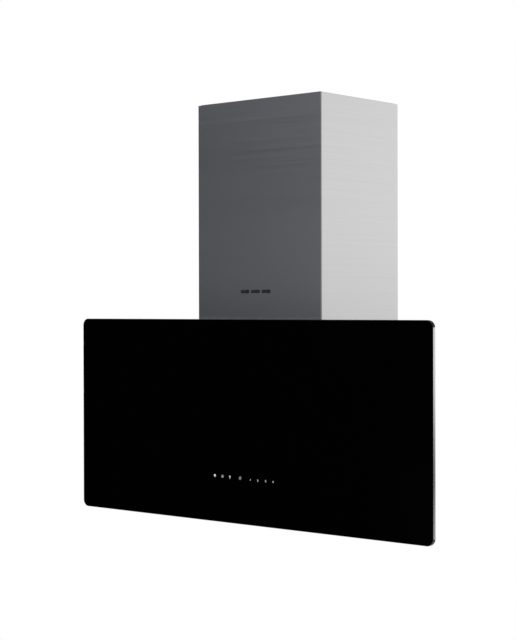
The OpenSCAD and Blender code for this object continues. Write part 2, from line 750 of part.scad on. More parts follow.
module hinge_brackets() color([0.55, 0.56, 0.58])
    for (s = [-1, 1])
        difference() {
            union() {
                yz_prism(s * hinge_x - hinge_half, s * hinge_x + hinge_half) {
                    hinge_circle(knuckle_r);
                    translate([hinge_y, plate_bottom]) square([box_front + 26 - hinge_y, bracket_t]);
                }
            }
            // room for the arm's knuckle
            block([s * hinge_x - arm_half - 0.4, hinge_y - knuckle_r - eps, plate_bottom - eps],
                  [s * hinge_x + arm_half + 0.4, hinge_y + knuckle_r + 0.6, hinge_z + knuckle_r + eps]);
            rod([s * hinge_x - hinge_half - eps, hinge_y, hinge_z], [1, 0, 0], hinge_pin_r + 0.02,
                2 * hinge_half + 2 * eps);
            for (x = [-13, 13])
                rod([s * hinge_x + x, box_front + 18, plate_bottom - eps], [0, 0, 1], 2 + fit,
                    bracket_t + 2 * eps);
        }

module hinge_pins() color("silver")
    for (s = [-1, 1]) {
        rod([s * hinge_x - hinge_half - 1, hinge_y, hinge_z], [1, 0, 0], hinge_pin_r, 2 * hinge_half + 2);
        for (e = [-1, 1])
            rod([s * hinge_x + e * (hinge_half + 0.2), hinge_y, hinge_z], [e, 0, 0], hinge_pin_r + 1.5, 1.5);
    }

arm_t = 3;
arm_pad_half = 18;
arm_pad_top = carrier_top - carrier_t - 2;
arm_pad_bottom = arm_pad_top - 50;

module hinge_arms() color([0.55, 0.56, 0.58])
    for (s = [-1, 1])
        difference() {
            union() {
                yz_prism(s * hinge_x - arm_half, s * hinge_x + arm_half) {
                    hinge_circle(knuckle_r);
                    translate([skin_back, hinge_z - knuckle_r])
                        square([hinge_y - skin_back, 2 * knuckle_r - 2]);
                    translate([skin_back, arm_pad_bottom]) square([arm_t, hinge_z - arm_pad_bottom]);
                }
                block([s * hinge_x - arm_pad_half, skin_back, arm_pad_bottom],
                      [s * hinge_x + arm_pad_half, skin_back + arm_t, arm_pad_top]);
            }
            rod([s * hinge_x - arm_half - eps, hinge_y, hinge_z], [1, 0, 0], hinge_pin_r + 0.06,
                2 * arm_half + 2 * eps);
            for (x = [-12, 12])
                for (z = [10, 40])
                    rod([s * hinge_x + x, skin_back - eps, arm_pad_bottom + z], [0, 1, 0], 2.2,
                        arm_t + 2 * eps);
        }

module magnet_catches() color([0.2, 0.2, 0.21])
    for (s = [-1, 1])
        difference() {
            union() {
                block([s * hinge_x - 17, glass_back + strike_t + 0.3, strike_z - 5],
                      [s * hinge_x + 17, box_front, strike_z + 5]);
                for (x = [-12, 12])
                    rod([s * hinge_x + x, box_front - eps, strike_z], [0, 1, 0], 1.5, eps + box_t + 2);
            }
            block([s * hinge_x - 9, glass_back, strike_z - 1], [s * hinge_x + 9, glass_back + 5, strike_z + 1]);
        }

module strike_plates() color("silver")
    for (s = [-1, 1])
        block([s * hinge_x - 20, glass_back, strike_z - 8], [s * hinge_x + 20, glass_back + strike_t, strike_z + 8]);

// ---------- glass panel and what it carries ----------

module glass_panel() color([0.02, 0.02, 0.025])
    translate([0, 0, (glass_top + glass_bottom) / 2])
        xz_prism(glass_front, glass_back) rounded_rect(panel_w, panel_h, panel_corner_r);

module panel_tape() color([0.2, 0.2, 0.2])
    face_ring(-carrier_w / 2 + 1, carrier_w / 2 - 1, carrier_bottom + 1, carrier_top - 1, 14, glass_back,
              skin_front);

module panel_carrier() color([0.35, 0.36, 0.38]) difference() {
    union() {
        block([-carrier_w / 2, skin_front, carrier_bottom], [carrier_w / 2, skin_back, carrier_top]);
        strap_ring_xz(carrier_w / 2, carrier_bottom, carrier_top, carrier_t, skin_front, carrier_back);
        // stiffening ribs pressed out of the sheet
        for (z = [0.3, 0.6])
            block([60 - carrier_w / 2, skin_back - 0.2, carrier_top - z * (carrier_top - carrier_bottom) - 6],
                  [carrier_w / 2 - 60, carrier_back - 2, carrier_top - z * (carrier_top - carrier_bottom) + 6]);
    }
    // hollow side of the ribs
    for (z = [0.3, 0.6])
        block([60 - carrier_w / 2 + carrier_t, skin_front - eps,
               carrier_top - z * (carrier_top - carrier_bottom) - 6 + carrier_t],
              [carrier_w / 2 - 60 - carrier_t, carrier_back - 2 - carrier_t,
               carrier_top - z * (carrier_top - carrier_bottom) + 6 - carrier_t]);
    // notches for the hinge arms
    for (s = [-1, 1]) {
        block([s * hinge_x - arm_half - 1, skin_back, carrier_top - 2 * carrier_t],
              [s * hinge_x + arm_half + 1, carrier_back + eps, carrier_top + eps]);
        for (x = [-12, 12])
            for (z = [10, 40])
                rod([s * hinge_x + x, skin_front - eps, arm_pad_bottom + z], [0, 1, 0], 2.2,
                    carrier_t + 2 * eps);
    }
    // window for the touch module
    block([-touch_w / 2 - 0.5, skin_front - eps, touch_z - touch_h / 2 - 0.5],
          [touch_w / 2 + 0.5, carrier_back + eps, touch_z + touch_h / 2 + 0.5]);
}

module touch_module() color([0.1, 0.1, 0.11]) difference() {
    block([-touch_w / 2, glass_back, touch_z - touch_h / 2],
          [touch_w / 2, carrier_back + 1, touch_z + touch_h / 2]);
    block([2 - touch_w / 2, glass_back + 1, touch_z - touch_h / 2 + 2],
          [touch_w / 2 - 2, carrier_back - 1, touch_z + touch_h / 2 - 2]);
    // connector slot
    block([-12, carrier_back - 2, touch_z + touch_h / 2 - 8],
          [12, carrier_back + 2, touch_z + touch_h / 2 - 4]);
}

module touch_board() color([0.05, 0.3, 0.15]) {
    block([2.3 - touch_w / 2, glass_back + 1, touch_z - touch_h / 2 + 2.3],
          [touch_w / 2 - 2.3, glass_back + 2.6, touch_z + touch_h / 2 - 2.3]);
    block([-10, glass_back + 2.6, touch_z + touch_h / 2 - 9],
          [10, carrier_back - 1.5, touch_z + touch_h / 2 - 3]);
}

// ---------- blower ----------

scroll_flange_t = 3;
collar_base_t = 2;
arc_step = 15;

// the spiral's radius at an angle that runs from the top over the back, the bottom and the front
function spiral(a) = scroll_start_r + (scroll_end_r - scroll_start_r) * a / 270;
function tongue_angle(w) = asin((tongue_y + w - scroll_y) / (scroll_start_r + w));

// the scroll's outline in Y and Z, grown by w
module scroll_outline(w) {
    a0 = tongue_angle(w);
    steps = 18;
    polygon(concat(
        [[tongue_y + w, neck_z]],
        [for (i = [0:steps]) let (a = a0 + (270 - a0) * i / steps)
            [scroll_y + (spiral(a) + w) * sin(a), scroll_z + (spiral(a) + w) * cos(a)]],
        [[scroll_y - scroll_end_r - w, neck_z]]
    ));
}

// the transition from the scroll's mouth to the round outlet
module scroll_neck(w, z0, z1) {
    hull() {
        block([-scroll_half - w + scroll_wall, scroll_y - scroll_end_r - w, z0],
              [scroll_half + w - scroll_wall, tongue_y + w, neck_z + 0.5]);
        translate([0, 0, z1 - 0.5]) cylinder(r = outlet_r + w, h = 0.5, $fn = 48);
    }
}

lug_angles = [50, 130, 225];

module scroll_half_shell(side) color([0.16, 0.16, 0.17]) {
    flange_z = plate_bottom - scroll_flange_t;
    difference() {
        union() {
            yz_prism(min(0, side * scroll_half), max(0, side * scroll_half)) scroll_outline(scroll_wall);
            intersection() {
                scroll_neck(scroll_wall, neck_z, plate_bottom - 1);
                block([0, -chimney_d, plate_bottom], [side * chimney_w, chimney_d, scroll_z]);
            }
            intersection() {
                translate([0, 0, flange_z]) cylinder(r = collar_r, h = scroll_flange_t, $fn = 72);
                block([0, -chimney_d, plate_bottom + eps], [side * chimney_w, chimney_d, scroll_z]);
            }
            // lip round the inlet
            rod([side * (scroll_half - 1), scroll_y, scroll_z], [side, 0, 0], inlet_r + 2, 7);
            // lugs that join the two halves
            for (a = lug_angles)
                translate([0, scroll_y + (spiral(a) + scroll_wall + 4) * sin(a),
                           scroll_z + (spiral(a) + scroll_wall + 4) * cos(a)])
                    block([0, -7, -7], [side * 8, 7, 7]);
        }
        yz_prism(min(-eps * side, side * (scroll_half - scroll_wall)),
                 max(-eps * side, side * (scroll_half - scroll_wall))) scroll_outline(0);
        scroll_neck(0, neck_z - 0.5, plate_bottom - 1);
        rod([0, 0, flange_z - 2], [0, 0, 1], outlet_r, scroll_flange_t + 4);
        rod([0, scroll_y, scroll_z], [side, 0, 0], inlet_r, scroll_half + 20);
        for (s = [-1, 1])
            rod([side * collar_screw, s * collar_screw, flange_z - eps], [0, 0, 1], 2 + fit,
                scroll_flange_t + 2 * eps);
    }
}

module scroll_pads() color([0.05, 0.05, 0.05])
    for (s = [-1, 1]) {
        a = 90;
        rod([s * scroll_half * 0.6, chimney_d / 2 - housing_t - pad_t, scroll_z + 20], [0, 1, 0], 12, pad_t);
    }

pad_t = chimney_d / 2 - housing_t - (scroll_y + spiral(90) + scroll_wall) - 0.1;
bush_wall = 3;
bracket_ring_t = 4;
motor_ring_r = motor_r + bush_wall + 2 * fit;

// the three-armed bracket that carries the motor at the left inlet
module motor_bracket() color([0.6, 0.61, 0.63])
    translate([-scroll_half - 6 - bracket_ring_t, scroll_y, scroll_z]) rotate([90, 0, 90]) difference() {
        union() {
            difference() {
                cylinder(r = inlet_r + 8, h = bracket_ring_t, $fn = 72);
                translate([0, 0, -eps]) cylinder(r = inlet_r, h = bracket_ring_t + 2 * eps, $fn = 72);
            }
            for (a = [90, 210, 330])
                rotate([0, 0, a]) block([motor_ring_r + 1, -6, 0.5], [inlet_r + 3, 6, bracket_ring_t - 0.5]);
            translate([0, 0, -5]) cylinder(r = motor_ring_r + 3, h = 14, $fn = 72);
        }
        translate([0, 0, -20]) cylinder(r = motor_ring_r, h = 60, $fn = 72);
    }

module motor_bushes() color([0.06, 0.06, 0.06]) difference() {
    rod([-motor_end + 1, scroll_y, scroll_z], [1, 0, 0], motor_ring_r - fit, 16);
    rod([-motor_end, scroll_y, scroll_z], [1, 0, 0], motor_r + fit, 18);
}

module motor_body() color([0.5, 0.51, 0.53]) difference() {
    union() {
        rod([-motor_end, scroll_y, scroll_z], [1, 0, 0], motor_r, motor_end - 14);
        rod([-14.5, scroll_y, scroll_z], [1, 0, 0], 12, 6.5);
        rod([-motor_end - 3, scroll_y, scroll_z], [1, 0, 0], motor_r - 10, 4);
        // terminal block
        block([-motor_end - 10, scroll_y - 9, scroll_z - 22], [-motor_end + 1, scroll_y + 9, scroll_z - 10]);
    }
    rod([-motor_end + 10, scroll_y, scroll_z], [1, 0, 0], shaft_r + 0.05, motor_end);
}

module motor_shaft() color("silver")
    rod([-motor_end + 11, scroll_y, scroll_z], [1, 0, 0], shaft_r, motor_end + 4);

// one forward-curved blade, drawn about the wheel's axis
module blade_outline(a0) {
    steps = 5;
    inner = [for (i = [0:steps]) let (t = i / steps, r = inlet_r + 1 + (wheel_r - inlet_r - 1.5) * t,
                                      a = a0 + 12 * t * t) [r * cos(a), r * sin(a)]];
    outer = [for (i = [steps:-1:0]) let (t = i / steps, r = inlet_r + 1 + (wheel_r - inlet_r - 1.5) * t,
                                         a = a0 + 12 * t * t + 70 / r) [r * cos(a), r * sin(a)]];
    polygon(concat(inner, outer));
}

module blower_wheel() color([0.62, 0.63, 0.65])
    translate([0, scroll_y, scroll_z]) rotate([90, 0, 90]) difference() {
        union() {
            translate([0, 0, -1.5]) cylinder(r = wheel_r - 1, h = 3, $fn = 96);
            translate([0, 0, -6]) cylinder(r = 12, h = 18, $fn = 48);
            for (z = [-wheel_half, wheel_half - 2])
                translate([0, 0, z]) difference() {
                    cylinder(r = wheel_r, h = 2, $fn = 96);
                    translate([0, 0, -eps]) cylinder(r = wheel_r - 7, h = 2 + 2 * eps, $fn = 96);
                }
            translate([0, 0, -wheel_half + 0.5]) linear_extrude(2 * wheel_half - 1)
                for (i = [0:blade_count - 1])
                    blade_outline(i * 360 / blade_count);
        }
        translate([0, 0, -20]) cylinder(r = shaft_r + 0.02, h = 40, $fn = 48);
    }

// ---------- air outlet with its damper ----------

ledge_z = flap_axis_z - flap_t - 0.3;

module outlet_collar() color([0.16, 0.16, 0.17]) difference() {
    union() {
        translate([0, 0, plate_top]) cylinder(r = outlet_r + outlet_wall, h = outlet_h, $fn = 96);
        translate([0, 0, plate_top]) cylinder(r = collar_r, h = collar_base_t, $fn = 96);
    }
    translate([0, 0, ledge_z]) cylinder(r = outlet_r, h = outlet_h, $fn = 96);
    translate([0, 0, plate_top - eps]) cylinder(r = outlet_r - 5, h = outlet_h, $fn = 96);
    translate([0, 0, plate_top - eps]) cylinder(r = outlet_r, h = eps + ledge_z - plate_top - 2, $fn = 96);
    rod([-outlet_r - 10, 0, flap_axis_z], [1, 0, 0], flap_pin_r + 0.02, 2 * outlet_r + 20);
    for (sx = [-1, 1])
        for (sy = [-1, 1])
            rod([sx * collar_screw, sy * collar_screw, plate_top - eps], [0, 0, 1], 2 + fit,
                collar_base_t + 2 * eps);
}

pin_half = outlet_r + outlet_wall - 0.2;

module damper_pin() color("silver")
    rod([-pin_half, 0, flap_axis_z], [1, 0, 0], flap_pin_r, 2 * pin_half);

knuckle_pitch = (2 * outlet_r - 30) / 4;

// a half-moon flap; side is -1 for the front one and 1 for the rear one
module damper_flap(side) color([0.7, 0.71, 0.73]) {
    starts = [for (i = [0:3]) if ((i % 2 == 0) == (side < 0)) -2 * knuckle_pitch + i * knuckle_pitch];
    difference() {
        union() {
            intersection() {
                translate([0, 0, flap_axis_z - flap_t]) cylinder(r = outlet_r - 1.5, h = flap_t, $fn = 96);
                block([-outlet_r, side * (flap_knuckle_r + 1), flap_axis_z - 5],
                      [outlet_r, side * outlet_r, flap_axis_z + 5]);
            }
            for (x = starts) {
                rod([x + 1, 0, flap_axis_z], [1, 0, 0], flap_knuckle_r, knuckle_pitch - 2);
                block([x + 1, 0, flap_axis_z - flap_t],
                      [x + knuckle_pitch - 1, side * (flap_knuckle_r + 2), flap_axis_z]);
            }
        }
        rod([-outlet_r, 0, flap_axis_z], [1, 0, 0], flap_pin_r + 0.06, 2 * outlet_r);
    }
}

// ---------- control gear, lamps and wiring ----------

module power_box() color([0.2, 0.2, 0.21]) difference() {
    union() {
        difference() {
            block([-power_x, power_y0, floor_top], [power_x, power_y1, floor_top + power_h]);
            block([power_wall - power_x, power_y0 + power_wall, floor_top + power_wall],
                  [power_x - power_wall, power_y1 - power_wall, floor_top + power_h + eps]);
        }
        for (sx = [-1, 1])
            for (y = [power_y0 + 14, power_y1 - 14])
                translate([sx * (power_x - 14), y, floor_top + 1]) cylinder(r = 4, h = 7, $fn = 36);
    }
    // cable holes
    for (h = power_ports)
        rod([h[0] * (power_x - 2 * power_wall), h[1], floor_top + 24], [h[0], 0, 0], loom_r + 0.5,
            3 * power_wall);
}

module power_box_lid() color([0.25, 0.25, 0.26]) difference() {
    block([-power_x, power_y0, floor_top + power_h], [power_x, power_y1, floor_top + power_h + 2]);
    for (i = [-4:4])
        block([i * 12 - 2, power_y0 + 20, floor_top + power_h - eps],
              [i * 12 + 2, power_y0 + 45, floor_top + power_h + 3]);
}

module control_board() color([0.05, 0.35, 0.18]) {
    z = floor_top + 8;
    block([6 - power_x, power_y0 + 6, z], [power_x - 6, power_y1 - 6, z + 1.6]);
    block([20, power_y0 + 20, z + 1.6], [52, power_y0 + 46, z + 20]);
    block([-60, power_y0 + 14, z + 1.6], [-30, power_y0 + 26, z + 13]);
}

module capacitor() color([0.85, 0.85, 0.87])
    rod([-50, power_y1 - 26, floor_top + 8 + 1.6 + 12.1], [1, 0, 0], 12, 52);

module cable_gland() color([0.1, 0.1, 0.1]) translate([gland_x, gland_y, 0]) difference() {
    union() {
        translate([0, 0, plate_top]) cylinder(r = 10, h = 6, $fn = 6);
        translate([0, 0, plate_bottom - 7]) cylinder(r = gland_stem_r, h = top_plate_t + 8, $fn = 48);
        translate([0, 0, plate_top + 6]) cylinder(r1 = 8.5, r2 = 6.5, h = 14, $fn = 48);
        translate([0, 0, plate_bottom - 5]) cylinder(r = 9.5, h = 5, $fn = 6);
    }
    translate([0, 0, plate_bottom - 10]) cylinder(r = gland_bore_r, h = top_plate_t + 40, $fn = 48);
}

bezel_t = 2;

module lamp_housings() color([0.75, 0.76, 0.78])
    for (s = [-1, 1])
        translate([s * lamp_x, lamp_y, body_bottom]) difference() {
            union() {
                translate([0, 0, -bezel_t]) linear_extrude(bezel_t) stadium(lamp_l, lamp_w);
                linear_extrude(13) stadium(lamp_l - 10, lamp_w - 8);
            }
            translate([0, 0, -bezel_t - eps]) linear_extrude(eps + bezel_t + 10) stadium(lamp_l - 16, lamp_w - 14);
            translate([0, 0, -bezel_t - eps]) linear_extrude(eps + bezel_t + 1) stadium(lamp_l - 13, lamp_w - 11);
        }

module lamp_lenses() color([0.95, 0.95, 0.92])
    for (s = [-1, 1])
        translate([s * lamp_x, lamp_y, body_bottom - bezel_t + 0.6])
            linear_extrude(bezel_t + 0.3) stadium(lamp_l - 13.4, lamp_w - 11.4);

loom_r = 3;
// side and Y of the cable holes in the power box
power_ports = [[-1, -20], [-1, 15], [-1, 40], [1, -20]];

module wiring_loom() color([0.3, 0.3, 0.32]) {
    port_bottom = port_z - box_port / 2;
    port_h = floor_top + 24;
    for (s = [-1, 1])
        cable([[s * lamp_x, lamp_y, body_bottom + 13], [s * lamp_x, lamp_y, port_bottom + 12],
              [s * (box_port / 2 - 20), lamp_y, port_bottom + 12],
              [s * (power_x + 30), box_back + 15, port_bottom + 12], [s * (power_x + 30), -20, port_h],
              [s * (power_x + fit), -20, port_h]], loom_r);
    cable([[-motor_end - 10, scroll_y, scroll_z - 16], [-motor_end - 22, scroll_y, scroll_z - 16],
          [-motor_end - 22, scroll_y - 5, scroll_z - 60], [-power_x - 30, 15, port_h + 30],
          [-power_x - 25, 15, port_h], [-power_x - fit, 15, port_h]], loom_r);
    cable([[gland_x, gland_y, plate_bottom - 7], [gland_x, gland_y, plate_bottom - 25],
          [-chimney_w / 2 + 16, gland_y + 14, plate_bottom - 45],
          [-chimney_w / 2 + 16, gland_y + 14, port_h + 30], [-power_x - 25, 40, port_h],
          [-power_x - fit, 40, port_h]], loom_r);
}

// ---------- drawing ----------

ceiling_plate();
upper_frame_ring();
upper_frame_screws();
upper_cover();
upper_cover_screws();
for (c = CORNERS) {
    upper_post(c[1], c[2]);
    lower_post(c[1], c[2]);
}
lower_frame_ring();
frame_clamp_screws();
lower_frame_screws();
lower_cover();
top_plate();
housing_shell();
housing_floor();
body_screws();
filter_box();
filter_seat();
filter_gasket();
for (s = SIDES) {
    filter_frame(s[1]);
    filter_mesh(s[1]);
    filter_latch(s[1]);
    scroll_half_shell(s[1]);
}
hinge_brackets();
hinge_pins();
magnet_catches();
scroll_pads();
motor_bracket();
motor_bushes();
motor_body();
motor_shaft();
blower_wheel();
outlet_collar();
damper_pin();
damper_flap(-1);  // damper_flap_front
damper_flap(1);  // damper_flap_rear
power_box();
power_box_lid();
control_board();
capacitor();
cable_gland();
lamp_housings();
lamp_lenses();
wiring_loom();
glass_panel();
panel_tape();
panel_carrier();
hinge_arms();
strike_plates();
touch_module();
touch_board();
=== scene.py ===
# Looks of the ceiling-hung range hood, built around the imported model. All lengths are in metres.
import bpy
import json
import math
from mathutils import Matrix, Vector


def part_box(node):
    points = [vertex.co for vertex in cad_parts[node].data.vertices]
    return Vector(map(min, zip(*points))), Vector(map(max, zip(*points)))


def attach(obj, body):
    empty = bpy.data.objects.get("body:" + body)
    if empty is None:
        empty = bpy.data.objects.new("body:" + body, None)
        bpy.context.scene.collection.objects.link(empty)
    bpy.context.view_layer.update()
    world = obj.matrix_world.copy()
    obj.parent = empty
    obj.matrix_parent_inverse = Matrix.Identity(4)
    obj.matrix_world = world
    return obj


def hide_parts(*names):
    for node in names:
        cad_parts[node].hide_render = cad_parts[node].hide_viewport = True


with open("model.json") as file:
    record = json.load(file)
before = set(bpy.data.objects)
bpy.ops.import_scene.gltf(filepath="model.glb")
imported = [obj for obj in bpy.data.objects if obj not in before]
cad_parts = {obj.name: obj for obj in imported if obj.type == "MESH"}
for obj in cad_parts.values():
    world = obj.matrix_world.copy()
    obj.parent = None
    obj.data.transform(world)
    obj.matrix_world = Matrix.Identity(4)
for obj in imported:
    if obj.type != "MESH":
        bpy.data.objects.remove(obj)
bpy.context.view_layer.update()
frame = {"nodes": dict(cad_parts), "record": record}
mm = 0.001
print("frame loaded:", len(frame["nodes"]), "nodes")


def setMode(mode):
    if bpy.context.object and bpy.context.object.mode != mode:
        bpy.ops.object.mode_set(mode=mode)


def deselectAll():
    setMode("OBJECT")
    bpy.ops.object.select_all(action="DESELECT")


def activate(*pieces):
    deselectAll()
    for piece in pieces:
        piece.select_set(True)
    bpy.context.view_layer.objects.active = pieces[0]
    return pieces[0]


# selects the faces or edges for which test(middle, direction) is true, and goes into edit mode
def pick(piece, test, kind="FACE"):
    activate(piece)
    bpy.ops.object.mode_set(mode="EDIT")
    bpy.ops.mesh.select_mode(type=kind)
    bpy.ops.mesh.select_all(action="DESELECT")
    bpy.ops.object.mode_set(mode="OBJECT")
    mesh = piece.data
    if kind == "FACE":
        for face in mesh.polygons:
            face.select = bool(test(face.center, face.normal))
    else:
        for edge in mesh.edges:
            ends = [mesh.vertices[i].co for i in edge.vertices]
            edge.select = bool(test((ends[0] + ends[1]) / 2, (ends[1] - ends[0]).normalized()))
    bpy.ops.object.mode_set(mode="EDIT")


def pickAll(piece):
    pick(piece, lambda middle, way: True)


def applyPlace(piece):
    activate(piece)
    bpy.ops.object.transform_apply(location=True, rotation=True, scale=True)
    return piece


def applyModifier(piece, kind, **settings):
    activate(piece)
    added = piece.modifiers.new(kind.lower(), kind)
    for key, value in settings.items():
        setattr(added, key, value)
    bpy.ops.object.modifier_apply(modifier=added.name)
    return piece


# a block between two corners, with its place in its mesh
def addBlock(name, low, high):
    deselectAll()
    low, high = Vector(low), Vector(high)
    bpy.ops.mesh.primitive_cube_add(size=1, location=(low + high) / 2, scale=high - low)
    piece = bpy.context.object
    piece.name = name
    return applyPlace(piece)


# a round bar that runs from the front to the back
def addBar(name, middle, radius, length, sides):
    deselectAll()
    bpy.ops.mesh.primitive_cylinder_add(vertices=sides, radius=radius, depth=length, location=middle,
                                        rotation=(math.pi / 2, 0, 0))
    piece = bpy.context.object
    piece.name = name
    return applyPlace(piece)


def joinAll(name, pieces):
    activate(*pieces)
    if len(pieces) > 1:
        bpy.ops.object.join()
    piece = bpy.context.object
    piece.name = name
    return piece


# smooth shading, except across edges that turn by more than the angle in degrees
def smoothEdges(piece, angle):
    activate(piece)
    bpy.ops.object.shade_smooth_by_angle(angle=math.radians(angle))
    return piece


def fixNormals(piece):
    activate(piece)
    bpy.ops.object.mode_set(mode="EDIT")
    bpy.ops.mesh.select_all(action="SELECT")
    bpy.ops.mesh.remove_doubles(threshold=1e-6)
    bpy.ops.mesh.normals_make_consistent(inside=False)
    bpy.ops.object.mode_set(mode="OBJECT")
    return piece


# rounds every edge of a finished shape that turns by more than 40 degrees
def easeEdges(piece, width):
    return applyModifier(piece, "BEVEL", width=width, segments=2, limit_method="ANGLE",
                         angle_limit=math.radians(40), use_clamp_overlap=True)


# puts a finished piece on its body, in place of the nodes that it stands for
def place(piece, body, slot, *replaced):
    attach(piece, body)
    if replaced:
        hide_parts(*replaced)
    return piece


# the camera looks at the glass's top edge, a little to the right of its middle; angles are in degrees,
# the lens and its sensor in millimetres
view = {"azimuth": 40.8, "elevation": 0.44, "roll": -0.11, "distance": 3.0016, "lens": 87.5,
        "sensor": 36, "farthest": 60, "rightOfMiddle": 43.5 * mm, "belowTop": 1.25 * mm}
glassLow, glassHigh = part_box("glass_panel")


def addCamera():
    aim = Vector((view["rightOfMiddle"], glassLow.y, glassHigh.z - view["belowTop"]))
    turn, rise = math.radians(view["azimuth"]), math.radians(view["elevation"])
    away = Vector((math.sin(turn) * math.cos(rise), -math.cos(turn) * math.cos(rise), math.sin(rise)))
    deselectAll()
    bpy.ops.object.camera_add(location=aim + away * view["distance"])
    camera = bpy.context.object
    camera.rotation_euler = away.to_track_quat("Z", "Y").to_euler()
    camera.rotation_euler.rotate_axis("Z", math.radians(view["roll"]))
    camera.data.lens = view["lens"]
    camera.data.sensor_width = view["sensor"]
    camera.data.clip_end = view["farthest"]
    bpy.context.scene.camera = camera
    bpy.context.scene.view_settings.view_transform = "Standard"


# a node's input or output by number, or by name among those that its settings leave in use
def socketOf(sockets, key):
    if isinstance(key, int):
        return sockets[key]
    return next(socket for socket in sockets if socket.name == key and socket.enabled)


# adds a shader node; the inputs are numbers, colours or other nodes' outputs
def node(tree, kind, inputs=None, **settings):
    made = tree.nodes.new("ShaderNode" + kind)
    for key, value in settings.items():
        setattr(made, key, value)
    for key, value in (inputs or {}).items():
        if isinstance(value, bpy.types.NodeSocket):
            tree.links.new(value, socketOf(made.inputs, key))
        else:
            socketOf(made.inputs, key).default_value = value
    return made


def combine(tree, kind, first, second):
    return node(tree, "Math", {0: first, 1: second}, operation=kind).outputs[0]


def mixNumbers(tree, factor, first, second):
    return node(tree, "Mix", {"Factor": factor, "A": first, "B": second}).outputs[0]


def mixColors(tree, factor, first, second):
    made = node(tree, "Mix", {"Factor": factor, "A": first, "B": second}, data_type="RGBA")
    return socketOf(made.outputs, "Result")


# as the value passes through the span, the result goes from low to high
def ramp(tree, value, span, low, high, shape="SMOOTHSTEP"):
    made = node(tree, "MapRange", {"Value": value, "From Min": span[0], "From Max": span[1],
                                   "To Min": low, "To Max": high}, interpolation_type=shape)
    return made.outputs[0]


# the studio's light by direction: front is the cook's side, rear is the +Y side, sky is overhead.
# Each span is where a level starts and ends its change, along X, Y or Z of the direction.
studio = {
    # a dark flag in front, which the glass mirrors, and what lies to its left, its right and below
    "flag": 0.002, "besideFlag": 0.07, "flagLeft": (-0.79, -0.88), "flagRight": (-0.5, -0.3),
    "belowFlag": 0.22, "flagBottom": (-0.2, -0.34),
    # the front's levels just over the horizon, above it and high up, and the most that it reaches
    "near": 0.182, "nearRise": (0.001, 0.012), "above": 0.0, "aboveRise": (0.012, 0.09),
    "high": 0.42, "highRise": (0.1, 0.36), "most": 0.62,
    # how many times brighter the light is straight in front, and a faint sheen low down there
    "straight": 3.1, "straightDepth": (-0.7, -0.86),
    "sheen": 0.012, "sheenDepth": (-0.79, -0.83), "sheenDrop": (-0.07, -0.13),
    # the rear's dark foot, its band and its top, a lift at the bottom and one straight behind
    "foot": 0.07, "footRise": (-0.112, -0.03), "band": 0.8, "top": 0.3, "topRise": (0.13, 0.45),
    "lift": 0.3, "liftDrop": (-0.122, -0.16), "behind": 1.17, "behindDepth": (0.79, 0.84),
    # where front turns into rear and both into sky, and the front's tint
    "sides": (-0.25, 0.25), "sky": 0.5, "skyRise": (0.6, 0.95), "coolTint": (0.93, 0.96, 1.06, 1)}
white = (1, 1, 1, 1)
black = (0, 0, 0, 1)


def frontLight(tree, across, depth, height):
    left = ramp(tree, across, studio["flagLeft"], studio["flag"], studio["besideFlag"])
    right = ramp(tree, across, studio["flagRight"], 0.0, studio["besideFlag"])
    below = ramp(tree, height, studio["flagBottom"], 0.0, studio["belowFlag"])
    low = combine(tree, "ADD", combine(tree, "ADD", left, right), below)
    near = mixNumbers(tree, ramp(tree, height, studio["nearRise"], 0.0, 1.0), low, studio["near"])
    above = ramp(tree, height, studio["aboveRise"], 0.0, studio["above"] - studio["near"])
    high = ramp(tree, height, studio["highRise"], 0.0, studio["high"])
    light = combine(tree, "ADD", combine(tree, "ADD", near, above), high)
    straight = ramp(tree, depth, studio["straightDepth"], 1.0, studio["straight"])
    light = combine(tree, "MULTIPLY", light, straight)
    sheen = combine(tree, "MULTIPLY", ramp(tree, depth, studio["sheenDepth"], 0.0, studio["sheen"]),
                    ramp(tree, height, studio["sheenDrop"], 0.0, 1.0))
    return combine(tree, "MINIMUM", combine(tree, "ADD", light, sheen), studio["most"])


def rearLight(tree, depth, height):
    foot = ramp(tree, height, studio["footRise"], studio["foot"], 1.0, "LINEAR")
    band = ramp(tree, height, studio["topRise"], studio["band"], studio["top"])
    lift = ramp(tree, height, studio["liftDrop"], 0.0, studio["lift"])
    light = combine(tree, "ADD", combine(tree, "MULTIPLY", foot, band), lift)
    return combine(tree, "MULTIPLY", light, ramp(tree, depth, studio["behindDepth"], 1.0, studio["behind"]))


def addStudio():
    world = bpy.data.worlds.new("softStudio")
    bpy.context.scene.world = world
    world.use_nodes = True
    tree = world.node_tree
    tree.nodes.clear()
    way = node(tree, "SeparateXYZ", {"Vector": node(tree, "TexCoord").outputs["Generated"]})
    across, depth, height = way.outputs["X"], way.outputs["Y"], way.outputs["Z"]
    side = ramp(tree, depth, studio["sides"], 0.0, 1.0)
    around = mixNumbers(tree, side, frontLight(tree, across, depth, height), rearLight(tree, depth, height))
    light = mixNumbers(tree, ramp(tree, height, studio["skyRise"], 0.0, 1.0), around, studio["sky"])
    cool = mixColors(tree, side, studio["coolTint"], white)
    tinted = node(tree, "VectorMath", {0: cool, "Scale": light}, operation="SCALE")
    toCamera = node(tree, "LightPath").outputs["Is Camera Ray"]
    glow = node(tree, "Background", {"Color": mixColors(tree, toCamera, tinted.outputs[0], white)})
    node(tree, "OutputWorld", {"Surface": glow.outputs[0]})


# a pale floor that fades to white towards its rim; the fade is in shares of the floor's size
floorShape = {"drop": 1.6, "size": 9, "corners": 96}
floorLook = {"tint": (0.82, 0.82, 0.82, 1), "roughness": 0.8, "glow": 0.35, "fade": (0.2, 0.49)}


